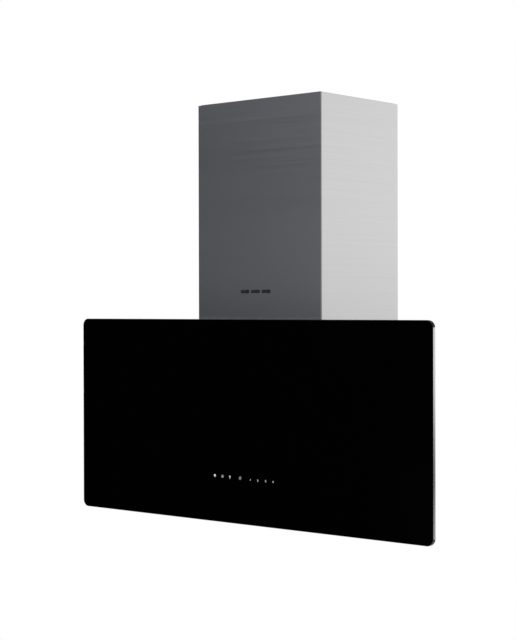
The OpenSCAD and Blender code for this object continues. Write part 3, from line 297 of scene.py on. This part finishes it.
def floorMaterial(middle):
    material = bpy.data.materials.new("paleFloor")
    material.use_nodes = True
    tree = material.node_tree
    shader = tree.nodes["Principled BSDF"]
    away = node(tree, "VectorMath", {0: node(tree, "TexCoord").outputs["Object"], 1: middle},
                operation="DISTANCE")
    fade = [share * floorShape["size"] for share in floorLook["fade"]]
    rim = ramp(tree, away.outputs["Value"], fade, 0.0, 1.0)
    shader.inputs["Roughness"].default_value = floorLook["roughness"]
    shader.inputs["Emission Strength"].default_value = 1.0
    tree.links.new(mixColors(tree, rim, floorLook["tint"], black), shader.inputs["Base Color"])
    glow = (floorLook["glow"],) * 3 + (1,)
    tree.links.new(mixColors(tree, rim, glow, white), shader.inputs["Emission Color"])
    # seen from below, the floor is clear
    fromBelow = node(tree, "NewGeometry").outputs["Backfacing"]
    clear = node(tree, "BsdfTransparent").outputs[0]
    both = node(tree, "MixShader", {0: fromBelow, 1: shader.outputs[0], 2: clear})
    tree.links.new(both.outputs[0], tree.nodes["Material Output"].inputs["Surface"])
    return material


def addFloor():
    deselectAll()
    middle = (0, 0, glassLow.z - floorShape["drop"])
    bpy.ops.mesh.primitive_circle_add(vertices=floorShape["corners"], radius=floorShape["size"] / 2,
                                      fill_type="NGON", location=middle)
    floor = applyPlace(bpy.context.object)
    floor.name = "floor"
    floor.data.materials.append(floorMaterial(middle))


addCamera()
addStudio()
addFloor()
print("camera and studio ready")


# effects that several materials share
def startGroup(name, inputs, outputs):
    tree = bpy.data.node_groups.new(name, "ShaderNodeTree")
    for label, kind, value in inputs:
        socket = tree.interface.new_socket(name=label, in_out="INPUT", socket_type="NodeSocket" + kind)
        if value is not None:
            socket.default_value = value
    for label, kind in outputs:
        tree.interface.new_socket(name=label, in_out="OUTPUT", socket_type="NodeSocket" + kind)
    return tree, tree.nodes.new("NodeGroupInput"), tree.nodes.new("NodeGroupOutput")


# the change, which is about zero on average, moves the tint by Contrast and the roughness by Spread
def varySurface(tree, given, out, change, relief, strength):
    factor = node(tree, "Math", {0: change, 1: given.outputs["Contrast"], 2: 1.0},
                  operation="MULTIPLY_ADD")
    shade = node(tree, "VectorMath", {0: given.outputs["Tint"], "Scale": factor.outputs[0]},
                 operation="SCALE")
    rough = node(tree, "Math", {0: change, 1: given.outputs["Spread"], 2: given.outputs["Roughness"]},
                 operation="MULTIPLY_ADD")
    bump = node(tree, "Bump", {"Strength": strength, "Distance": given.outputs["Depth"], "Height": relief})
    tree.links.new(shade.outputs[0], out.inputs["Color"])
    tree.links.new(rough.outputs[0], out.inputs["Roughness"])
    tree.links.new(bump.outputs[0], out.inputs["Normal"])


surfaceOutputs = [("Color", "Color"), ("Roughness", "Float"), ("Normal", "Vector")]
# a fine noise draws the lines, and a broad one makes them vary from place to place
grain = {"detail": 5.0, "harshness": 0.65, "broadScale": 0.13, "broadDetail": 2.0, "strength": 1.0}


# fine parallel lines left by the brushing belt or the rolling mill
def buildGrain():
    tree, given, out = startGroup("sheetGrain", [
        ("Vector", "Vector", None), ("Tint", "Color", (0.6, 0.6, 0.6, 1)), ("Contrast", "Float", 0.1),
        ("Roughness", "Float", 0.3), ("Spread", "Float", 0.08), ("Depth", "Float", 0.02)], surfaceOutputs)
    spot = given.outputs["Vector"]
    fine = node(tree, "TexNoise", {"Vector": spot, "Scale": 1.0, "Detail": grain["detail"],
                                   "Roughness": grain["harshness"]})
    broad = node(tree, "TexNoise", {"Vector": spot, "Scale": grain["broadScale"],
                                    "Detail": grain["broadDetail"]})
    both = combine(tree, "ADD", fine.outputs["Fac"], broad.outputs["Fac"])
    varySurface(tree, given, out, combine(tree, "ADD", both, -1.0), fine.outputs["Fac"], grain["strength"])
    return tree


# fine dots under a slow cloud of lighter and darker patches
pebble = {"detail": 2.0, "cloudScale": 9.0, "cloudDetail": 4.0, "strength": 0.6}


# the faint pebble of powder coat or moulded plastic
def buildPebble():
    tree, given, out = startGroup("pebble", [
        ("Vector", "Vector", None), ("Tint", "Color", (0.03, 0.03, 0.03, 1)), ("Size", "Float", 700.0),
        ("Contrast", "Float", 0.3), ("Roughness", "Float", 0.4), ("Spread", "Float", 0.1),
        ("Depth", "Float", 0.05 * mm)], surfaceOutputs)
    spot = given.outputs["Vector"]
    dots = node(tree, "TexNoise", {"Vector": spot, "Scale": given.outputs["Size"],
                                   "Detail": pebble["detail"]})
    cloud = node(tree, "TexNoise", {"Vector": spot, "Scale": pebble["cloudScale"],
                                    "Detail": pebble["cloudDetail"]})
    change = combine(tree, "ADD", cloud.outputs["Fac"], -0.5)
    varySurface(tree, given, out, change, dots.outputs["Fac"], pebble["strength"])
    return tree


wipe = {"scale": 3.5, "detail": 3.0, "swirl": 1.2, "from": 0.52, "to": 0.75}


# soft wiping marks that only change the gloss
def buildSmudge():
    tree, given, out = startGroup("wipeMarks", [
        ("Vector", "Vector", None), ("Clean", "Float", 0.02), ("Smeared", "Float", 0.08)],
        [("Roughness", "Float")])
    swirl = node(tree, "TexNoise", {"Vector": given.outputs["Vector"], "Scale": wipe["scale"],
                                    "Detail": wipe["detail"], "Distortion": wipe["swirl"]})
    patch = ramp(tree, swirl.outputs["Fac"], (wipe["from"], wipe["to"]), given.outputs["Clean"],
                 given.outputs["Smeared"], "LINEAR")
    tree.links.new(patch, out.inputs["Roughness"])
    return tree


groups = {"grain": buildGrain(), "pebble": buildPebble(), "smudge": buildSmudge()}


def startMaterial(name, **fixed):
    material = bpy.data.materials.new(name)
    material.use_nodes = True
    tree = material.node_tree
    shader = tree.nodes["Principled BSDF"]
    for key, value in fixed.items():
        shader.inputs[key].default_value = value
    return material, tree, shader


def useGroup(tree, name, inputs):
    made = tree.nodes.new("ShaderNodeGroup")
    made.node_tree = groups[name]
    for key, value in inputs.items():
        if isinstance(value, bpy.types.NodeSocket):
            tree.links.new(value, made.inputs[key])
        else:
            made.inputs[key].default_value = value
    return made


def spotIn(tree, scale=(1, 1, 1)):
    coords = node(tree, "TexCoord")
    return node(tree, "Mapping", {"Vector": coords.outputs["Object"], "Scale": scale}).outputs[0]


# a grey whose brightness follows a texture, between the two ends of a range
def greyOf(tree, value, levels):
    shade = ramp(tree, value, (0.0, 1.0), levels[0], levels[1], "LINEAR")
    return node(tree, "CombineColor", {"Red": shade, "Green": shade, "Blue": shade}).outputs[0]


def feed(tree, shader, source):
    tree.links.new(source.outputs["Color"], shader.inputs["Base Color"])
    tree.links.new(source.outputs["Roughness"], shader.inputs["Roughness"])
    tree.links.new(source.outputs["Normal"], shader.inputs["Normal"])


# metals with a grain; stretch is how finely the lines repeat along X, Y and Z
metals = {
    "brushedStainless": {"tint": (0.78, 0.78, 0.78, 1), "stretch": (16, 16, 1700), "contrast": 0.09,
                         "roughness": 0.24, "spread": 0.05, "depth": 0.003 * mm},
    "zincSteel": {"tint": (0.55, 0.56, 0.59, 1), "stretch": (60, 60, 60), "contrast": 0.35,
                  "roughness": 0.36, "spread": 0.16, "depth": 0.01 * mm},
    "screwSteel": {"tint": (0.36, 0.36, 0.38, 1), "stretch": (400, 400, 400), "contrast": 0.3,
                   "roughness": 0.33, "spread": 0.14, "depth": 0.01 * mm},
    "filterAluminium": {"tint": (0.86, 0.87, 0.88, 1), "stretch": (12, 700, 700), "contrast": 0.16,
                        "roughness": 0.42, "spread": 0.1, "depth": 0.01 * mm},
    "wheelMetal": {"tint": (0.6, 0.61, 0.63, 1), "stretch": (10, 500, 500), "contrast": 0.2,
                   "roughness": 0.38, "spread": 0.1, "depth": 0.01 * mm},
    "capacitorCan": {"tint": (0.75, 0.75, 0.78, 1), "stretch": (20, 300, 300), "contrast": 0.1,
                     "roughness": 0.28, "spread": 0.08, "depth": 0.01 * mm},
    "lampMetal": {"tint": (0.62, 0.63, 0.65, 1), "stretch": (20, 900, 900), "contrast": 0.12,
                  "roughness": 0.3, "spread": 0.08, "depth": 0.01 * mm},
}


def metalMaterial(name):
    look = metals[name]
    material, tree, shader = startMaterial(name, Metallic=1.0)
    feed(tree, shader, useGroup(tree, "grain", {
        "Vector": spotIn(tree, look["stretch"]), "Tint": look["tint"], "Contrast": look["contrast"],
        "Roughness": look["roughness"], "Spread": look["spread"], "Depth": look["depth"]}))
    return material


# paints, rubber and plastics; size is how finely the pebble repeats
coatings = {
    "blackPaint": {"tint": (0.012, 0.012, 0.013, 1), "size": 900, "contrast": 0.5, "roughness": 0.38,
                   "spread": 0.12, "depth": 0.06 * mm},
    "blackRubber": {"tint": (0.02, 0.02, 0.02, 1), "size": 1500, "contrast": 0.5, "roughness": 0.75,
                    "spread": 0.15, "depth": 0.08 * mm},
    "bondTape": {"tint": (0.05, 0.05, 0.052, 1), "size": 2200, "contrast": 0.4, "roughness": 0.7,
                 "spread": 0.1, "depth": 0.05 * mm},
    "motorPaint": {"tint": (0.2, 0.21, 0.23, 1), "size": 600, "contrast": 0.3, "roughness": 0.45,
                   "spread": 0.14, "depth": 0.08 * mm},
    "blackPlastic": {"tint": (0.022, 0.022, 0.025, 1), "size": 1300, "contrast": 0.35, "roughness": 0.5,
                     "spread": 0.12, "depth": 0.07 * mm},
    "cableSheath": {"tint": (0.06, 0.06, 0.065, 1), "size": 1800, "contrast": 0.3, "roughness": 0.55,
                    "spread": 0.1, "depth": 0.03 * mm},
    "backPaint": {"tint": (0.006, 0.006, 0.006, 1), "size": 500, "contrast": 0.4, "roughness": 0.32,
                  "spread": 0.14, "depth": 0.02 * mm},
}


def coatingMaterial(name):
    look = coatings[name]
    material, tree, shader = startMaterial(name)
    feed(tree, shader, useGroup(tree, "pebble", {
        "Vector": spotIn(tree), "Tint": look["tint"], "Size": look["size"], "Contrast": look["contrast"],
        "Roughness": look["roughness"], "Spread": look["spread"], "Depth": look["depth"]}))
    return material


glassLook = {"refraction": 1.5, "wipeStretch": (1, 1, 0.45), "clean": 0.012, "smeared": 0.05,
             "cloud": 1.2, "levels": (0.0003, 0.0012)}


# clear glass painted black behind: deep, still and almost mirror-smooth
def glassMaterial():
    material, tree, shader = startMaterial("blackGlass", IOR=glassLook["refraction"])
    smears = useGroup(tree, "smudge", {"Vector": spotIn(tree, glassLook["wipeStretch"]),
                                       "Clean": glassLook["clean"], "Smeared": glassLook["smeared"]})
    cloud = node(tree, "TexNoise", {"Vector": spotIn(tree), "Scale": glassLook["cloud"]})
    tree.links.new(greyOf(tree, cloud.outputs["Fac"], glassLook["levels"]), shader.inputs["Base Color"])
    tree.links.new(smears.outputs["Roughness"], shader.inputs["Roughness"])
    return material


edgeLook = {"refraction": 1.5, "metallic": 0.85, "stretch": (700, 60, 700), "detail": 3.0,
            "levels": (0.66, 0.84), "roughness": (0.08, 0.2)}


# the ground and polished rim, where the clear glass shows pale against its black back
def glassEdgeMaterial():
    material, tree, shader = startMaterial("polishedGlassEdge", IOR=edgeLook["refraction"],
                                           Metallic=edgeLook["metallic"])
    grind = node(tree, "TexNoise", {"Vector": spotIn(tree, edgeLook["stretch"]), "Scale": 1.0,
                                    "Detail": edgeLook["detail"]})
    rough = ramp(tree, grind.outputs["Fac"], (0.0, 1.0), *edgeLook["roughness"], "LINEAR")
    tree.links.new(greyOf(tree, grind.outputs["Fac"], edgeLook["levels"]), shader.inputs["Base Color"])
    tree.links.new(rough, shader.inputs["Roughness"])
    return material


# printed or lit marks; glow is the emission strength: on the lit power dot it is its lamp, on the printed
# marks it is painted light
markLooks = {"litMark": {"tint": (0.8, 0.82, 0.85), "glow": 0.36},
             "softMarkPaintedGlow": {"tint": (0.7, 0.71, 0.73), "glow": 0.22},
             "paleMarkPaintedGlow": {"tint": (0.7, 0.71, 0.73), "glow": 1.15},
             "darkPrint": {"tint": (0.012, 0.012, 0.014), "glow": 0.0}}
markPrint = {"roughness": 0.4, "speckle": 1800.0, "levels": (0.85, 1.1)}


def markMaterial(name):
    look = markLooks[name]
    material, tree, shader = startMaterial(name, Roughness=markPrint["roughness"])
    shader.inputs["Emission Strength"].default_value = look["glow"]
    speck = node(tree, "TexNoise", {"Vector": spotIn(tree), "Scale": markPrint["speckle"]})
    fleck = ramp(tree, speck.outputs["Fac"], (0.0, 1.0), *markPrint["levels"], "LINEAR")
    shade = node(tree, "VectorMath", {0: look["tint"], "Scale": fleck}, operation="SCALE")
    tree.links.new(shade.outputs[0], shader.inputs["Base Color"])
    tree.links.new(shade.outputs[0], shader.inputs["Emission Color"])
    return material


boardLook = {"roughness": 0.35, "tracks": 160.0, "gap": 0.03, "green": (0.01, 0.14, 0.05, 1),
             "paleGreen": (0.012, 0.17, 0.06, 1), "line": (0.03, 0.26, 0.1, 1), "joints": 320.0,
             "jointEdge": (0.1, 0.14), "solder": (0.6, 0.6, 0.58, 1), "strength": 0.5, "depth": 0.05 * mm}


def boardMaterial():
    material, tree, shader = startMaterial("circuitBoard", Roughness=boardLook["roughness"])
    spot = spotIn(tree)
    tracks = node(tree, "TexBrick", {"Vector": spot, "Scale": boardLook["tracks"],
                                     "Mortar Size": boardLook["gap"], "Color1": boardLook["green"],
                                     "Color2": boardLook["paleGreen"], "Mortar": boardLook["line"]})
    joints = node(tree, "TexVoronoi", {"Vector": spot, "Scale": boardLook["joints"]})
    solder = ramp(tree, joints.outputs["Distance"], boardLook["jointEdge"], 1.0, 0.0, "LINEAR")
    color = mixColors(tree, solder, tracks.outputs["Color"], boardLook["solder"])
    tree.links.new(color, shader.inputs["Base Color"])
    bump = node(tree, "Bump", {"Strength": boardLook["strength"], "Distance": boardLook["depth"],
                               "Height": solder})
    tree.links.new(bump.outputs[0], shader.inputs["Normal"])
    return material


lensLook = {"refraction": 1.49, "milk": 0.3, "milkDepth": 2 * mm, "ridges": 160.0, "strength": 0.4,
            "depth": 0.2 * mm, "cloud": 60.0, "levels": (0.78, 0.9), "roughness": (0.3, 0.45)}


def lensMaterial():
    material, tree, shader = startMaterial("frostedLens", IOR=lensLook["refraction"])
    shader.inputs["Subsurface Weight"].default_value = lensLook["milk"]
    shader.inputs["Subsurface Radius"].default_value = (lensLook["milkDepth"],) * 3
    ridges = node(tree, "TexWave", {"Vector": spotIn(tree), "Scale": lensLook["ridges"]},
                  bands_direction="X")
    bump = node(tree, "Bump", {"Strength": lensLook["strength"], "Distance": lensLook["depth"],
                               "Height": ridges.outputs["Fac"]})
    cloud = node(tree, "TexNoise", {"Vector": spotIn(tree), "Scale": lensLook["cloud"]})
    rough = ramp(tree, cloud.outputs["Fac"], (0.0, 1.0), *lensLook["roughness"], "LINEAR")
    tree.links.new(greyOf(tree, cloud.outputs["Fac"], lensLook["levels"]), shader.inputs["Base Color"])
    tree.links.new(rough, shader.inputs["Roughness"])
    tree.links.new(bump.outputs[0], shader.inputs["Normal"])
    return material


looks = {name: metalMaterial(name) for name in metals}
looks.update({name: coatingMaterial(name) for name in coatings})
looks.update({name: markMaterial(name) for name in markLooks})
looks.update({"blackGlass": glassMaterial(), "glassEdge": glassEdgeMaterial(),
              "board": boardMaterial(), "lens": lensMaterial()})

# which finish each of the record's material slots gets
slotLooks = {"black_glass": "blackGlass", "brushed_stainless": "brushedStainless",
             "zinc_steel": "zincSteel", "screw_steel": "screwSteel",
             "black_paint": "blackPaint", "black_rubber": "blackRubber",
             "bond_tape": "bondTape", "filter_aluminium": "filterAluminium", "wheel_metal": "wheelMetal",
             "motor_metal": "motorPaint", "black_plastic": "blackPlastic", "circuit_board": "board",
             "capacitor_can": "capacitorCan", "lamp_metal": "lampMetal", "lamp_lens": "lens",
             "cable_sheath": "cableSheath"}


def wear(piece, *names):
    piece.data.materials.clear()
    for name in names:
        piece.data.materials.append(looks[name])
    return piece


def coverNodes():
    for entry in frame["record"]["subparts"]:
        wear(frame["nodes"][entry["node"]], slotLooks[entry["material_slot"]])


coverNodes()
print("materials ready")

# the pane has rounded corners, and a ground bevel all round both faces
glassShape = {"cornerRadius": 14 * mm, "cornerSteps": 20, "arris": 0.9 * mm, "arrisSteps": 2,
              "smoothBelow": 20}


def makeGlass():
    piece = addBlock("glassPanel", glassLow, glassHigh)
    pick(piece, lambda middle, way: abs(way.y) > 0.9, "EDGE")
    bpy.ops.mesh.bevel(offset=glassShape["cornerRadius"], segments=glassShape["cornerSteps"])
    setMode("OBJECT")
    pick(piece, lambda middle, way: abs(way.y) < 0.1, "EDGE")
    bpy.ops.mesh.bevel(offset=glassShape["arris"], segments=glassShape["arrisSteps"])
    setMode("OBJECT")
    wear(piece, "blackGlass", "glassEdge", "backPaint")
    # the back is painted, and the flat rims and the rear bevel are pale; the front and its bevel stay
    # black. The rim's round corners, polished like the flat rims, also take the black glass: painted shade
    # that keeps them dark
    for face in piece.data.polygons:
        flatRim = max(abs(face.normal.x), abs(face.normal.z)) > 0.995
        painted = face.normal.y > 0.99
        pale = flatRim or face.normal.y > 0.1
        face.material_index = 2 if painted else 1 if pale else 0
    smoothEdges(piece, glassShape["smoothBelow"])
    place(piece, "panel", "black_glass", "glass_panel")


makeGlass()
print("glass panel made")

# touch marks near the glass's lower edge: each At is from its middle, the row from its lower edge,
# and each Up or Down from the row
marks = {"row": 90 * mm, "relief": 0.12 * mm, "stroke": 0.75 * mm, "roundSides": 40,
         "dotAt": -69.9 * mm, "dot": 2.6 * mm, "dotUp": 1.0 * mm,
         "ringAt": -49.6 * mm, "ring": 2.8 * mm, "ringUp": 0.6 * mm, "ringDot": 1.2 * mm,
         "bulbAt": -30.3 * mm, "bulb": 2.1 * mm, "bulbUp": 1.2 * mm,
         "neckWide": 2.2 * mm, "neckDown": 1.6 * mm, "footWide": 1.5 * mm, "footDown": 2.9 * mm,
         "clockAt": -3.4 * mm, "hand": 0.6 * mm, "longHand": 2.0 * mm, "longUp": 0.9 * mm,
         "shortHand": 1.7 * mm, "shortRight": 0.8 * mm,
         "digitsAt": (23 * mm, 42 * mm, 62 * mm, 80.7 * mm), "digit": 5.1 * mm, "digitsDown": 1.6 * mm}


# a flat disc or ring facing the cook, in the glass's front plane
def addDisc(radius, x, z, hole=0):
    deselectAll()
    bpy.ops.mesh.primitive_circle_add(vertices=marks["roundSides"], radius=radius, fill_type="NGON",
                                      location=(x, glassLow.y, z), rotation=(math.pi / 2, 0, 0))
    piece = applyPlace(bpy.context.object)
    if hole:
        pickAll(piece)
        bpy.ops.mesh.inset(thickness=radius - hole)
        bpy.ops.mesh.delete(type="FACE")
        setMode("OBJECT")
    return piece


def addStroke(x, z, width, height):
    deselectAll()
    bpy.ops.mesh.primitive_plane_add(size=1, location=(x, glassLow.y, z), rotation=(math.pi / 2, 0, 0))
    piece = bpy.context.object
    piece.scale = (width, height, 1)
    return applyPlace(piece)


def addDigit(text, x, z):
    deselectAll()
    bpy.ops.object.text_add(location=(x, glassLow.y, z), rotation=(math.pi / 2, 0, 0))
    letter = bpy.context.object
    letter.data.body = text
    letter.data.size = marks["digit"]
    letter.data.align_x = "CENTER"
    letter.data.align_y = "CENTER"
    bpy.ops.object.convert(target="MESH")
    return applyPlace(bpy.context.object)


def addRing(x, z):
    return addDisc(marks["ring"], x, z, marks["ring"] - marks["stroke"])


def targetMark(row):
    x, z = marks["ringAt"], row + marks["ringUp"]
    return [addRing(x, z), addDisc(marks["ringDot"], x, z)]


def bulbMark(row):
    x = marks["bulbAt"]
    return [addDisc(marks["bulb"], x, row + marks["bulbUp"]),
            addStroke(x, row - marks["neckDown"], marks["neckWide"], marks["stroke"]),
            addStroke(x, row - marks["footDown"], marks["footWide"], marks["stroke"])]


def clockMark(row):
    x = marks["clockAt"]
    return [addRing(x, row), addStroke(x, row + marks["longUp"], marks["hand"], marks["longHand"]),
            addStroke(x + marks["shortRight"], row, marks["shortHand"], marks["hand"])]


# joins flat marks into one piece and gives it its thickness
def finishMarks(name, parts, look):
    piece = joinAll(name, parts)
    piece = applyModifier(fixNormals(piece), "SOLIDIFY", thickness=marks["relief"], offset=0)
    wear(fixNormals(piece), look)
    place(piece, "panel", "black_glass")


def makeTouchMarks():
    row = glassLow.z + marks["row"]
    finishMarks("powerMark", [addDisc(marks["dot"], marks["dotAt"], row + marks["dotUp"])], "litMark")
    # the control symbols and the speed digits are printed; the glow they get is painted light that makes
    # them brighter
    finishMarks("controlMarks", targetMark(row) + bulbMark(row) + clockMark(row), "softMarkPaintedGlow")
    digits = [addDigit(str(i + 1), x, row - marks["digitsDown"]) for i, x in enumerate(marks["digitsAt"])]
    finishMarks("speedMarks", digits, "paleMarkPaintedGlow")


makeTouchMarks()
print("touch marks made")

# a plain badge on the chimney: short bars in clusters, the middle bar of each taller, no lettering.
# Every cluster's last place is left empty; short and fill are shares of the height and of a place.
badge = {"from": -45 * mm, "to": 33 * mm, "aboveGlass": 54.5 * mm, "height": 8.0 * mm, "relief": 0.15 * mm,
         "places": 17, "cluster": 6, "short": 0.78, "fill": 0.86, "edge": 0.1 * mm}


def makeBadge():
    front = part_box("lower_cover")[0].y
    z = glassHigh.z + badge["aboveGlass"]
    step = (badge["to"] - badge["from"]) / badge["places"]
    bars = []
    for i in range(badge["places"]):
        spot = i % badge["cluster"]
        if spot == badge["cluster"] - 1:
            continue
        height = badge["height"] * (1.0 if spot == badge["cluster"] // 2 else badge["short"])
        x = badge["from"] + step * (i + 0.5)
        half = Vector((step * badge["fill"] / 2, badge["relief"], height / 2))
        middle = Vector((x, front, z))
        bars.append(easeEdges(addBlock("bar", middle - half, middle + half), badge["edge"]))
    piece = joinAll("chimneyBadge", bars)
    wear(piece, "darkPrint")
    place(piece, "hood", "black_plastic")


makeBadge()
print("badge made")

# expanded aluminium in the grease filters: layers of a sheet with diamonds across and up it
filterSheet = {"layers": 3, "across": 28, "up": 52, "strand": 0.85 * mm, "wave": 0.5 * mm}


# one sheet of expanded metal: a grid of diamonds whose strands stand slightly across the sheet
def addExpandedSheet(low, high, y, flip):
    deselectAll()
    middle = ((low.x + high.x) / 2, y, (low.z + high.z) / 2)
    bpy.ops.mesh.primitive_grid_add(x_subdivisions=filterSheet["across"], y_subdivisions=filterSheet["up"],
                                    size=1, location=middle, rotation=(math.pi / 2, 0, 0))
    sheet = bpy.context.object
    sheet.scale = (high.x - low.x, high.z - low.z, 1)
    applyPlace(sheet)
    bpy.ops.object.mode_set(mode="EDIT")
    bpy.ops.mesh.select_all(action="SELECT")
    bpy.ops.mesh.poke()
    bpy.ops.object.mode_set(mode="OBJECT")
    stepX, stepZ = (high.x - low.x) / filterSheet["across"], (high.z - low.z) / filterSheet["up"]

    def inside(spot):
        return (low.x + stepX / 4 < spot.x < high.x - stepX / 4
                and low.z + stepZ / 4 < spot.z < high.z - stepZ / 4)

    def isGridLine(middle, way):
        return inside(middle) and (abs(way.x) < 0.01 or abs(way.z) < 0.01)

    pick(sheet, isGridLine, "EDGE")
    bpy.ops.mesh.dissolve_edges(use_verts=False)
    bpy.ops.object.mode_set(mode="OBJECT")
    for point in sheet.data.vertices:
        if inside(point.co):
            halfStep = round((point.co.x - low.x) / stepX * 2) + flip
            point.co.y += filterSheet["wave"] * (0.5 if halfStep % 2 else -0.5)
    return applyModifier(sheet, "WIREFRAME", thickness=filterSheet["strand"], use_even_offset=False)


def makeFilterMesh(side):
    low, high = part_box("filter_mesh_" + side)
    strand, layers = filterSheet["strand"], filterSheet["layers"]
    gap = (high.y - low.y - 2 * strand) / (layers - 1)
    sheets = [addExpandedSheet(low, high, low.y + strand + gap * i, i) for i in range(layers)]
    piece = joinAll("expandedMesh" + side.capitalize(), sheets)
    wear(piece, "filterAluminium")
    place(piece, "hood", "filter_aluminium", "filter_mesh_" + side)


for side in ("left", "right"):
    makeFilterMesh(side)
print("filter meshes made")

# ribbed lenses of the two lamps; ribFill is a rib's half width as a share of the space between ribs
lens = {"ribs": 44, "ribHeight": 0.5 * mm, "ribFill": 0.42, "ribSides": 10, "edge": 0.5 * mm,
        "edgeSteps": 3, "endSteps": 16, "endShort": 0.01 * mm, "smoothBelow": 35}


# a bar with round ends under the filter box, ribbed across its lower face
def makeLens(low, high):
    piece = addBlock("lens", low, high)
    wide = high.y - low.y
    pick(piece, lambda middle, way: abs(way.z) > 0.9, "EDGE")
    bpy.ops.mesh.bevel(offset=wide / 2 - lens["endShort"], segments=lens["endSteps"])
    setMode("OBJECT")
    pick(piece, lambda middle, way: middle.z < low.z + 0.1 * mm and abs(way.z) < 0.1, "EDGE")
    bpy.ops.mesh.bevel(offset=lens["edge"], segments=lens["edgeSteps"])
    setMode("OBJECT")
    step = (high.x - low.x - wide) / lens["ribs"]
    radius = step * lens["ribFill"]
    ribs = []
    for i in range(lens["ribs"]):
        middle = (low.x + wide / 2 + step * (i + 0.5), (low.y + high.y) / 2, low.z + lens["ribHeight"] / 2)
        rib = addBar("rib", middle, radius, wide - 4 * lens["edge"], lens["ribSides"])
        pickAll(rib)
        bpy.ops.transform.resize(value=(1, 1, lens["ribHeight"] / radius), center_override=middle)
        setMode("OBJECT")
        ribs.append(rib)
    return [piece] + ribs


# the node's box holds both lenses; each is centred between the housing's side and the filter box's end
def makeLenses():
    low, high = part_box("lamp_lenses")
    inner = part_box("filter_box")[1].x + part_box("housing_shell")[1].x - high.x
    parts = []
    for sign in (-1, 1):
        left, right = sorted((sign * high.x, sign * inner))
        parts += makeLens(Vector((left, low.y, low.z)), Vector((right, high.y, high.z)))
    piece = joinAll("lampLensPair", parts)
    smoothEdges(piece, lens["smoothBelow"])
    wear(piece, "lens")
    place(piece, "hood", "lamp_lens", "lamp_lenses")


makeLenses()
print("lamp lenses made")

print("all pieces made")
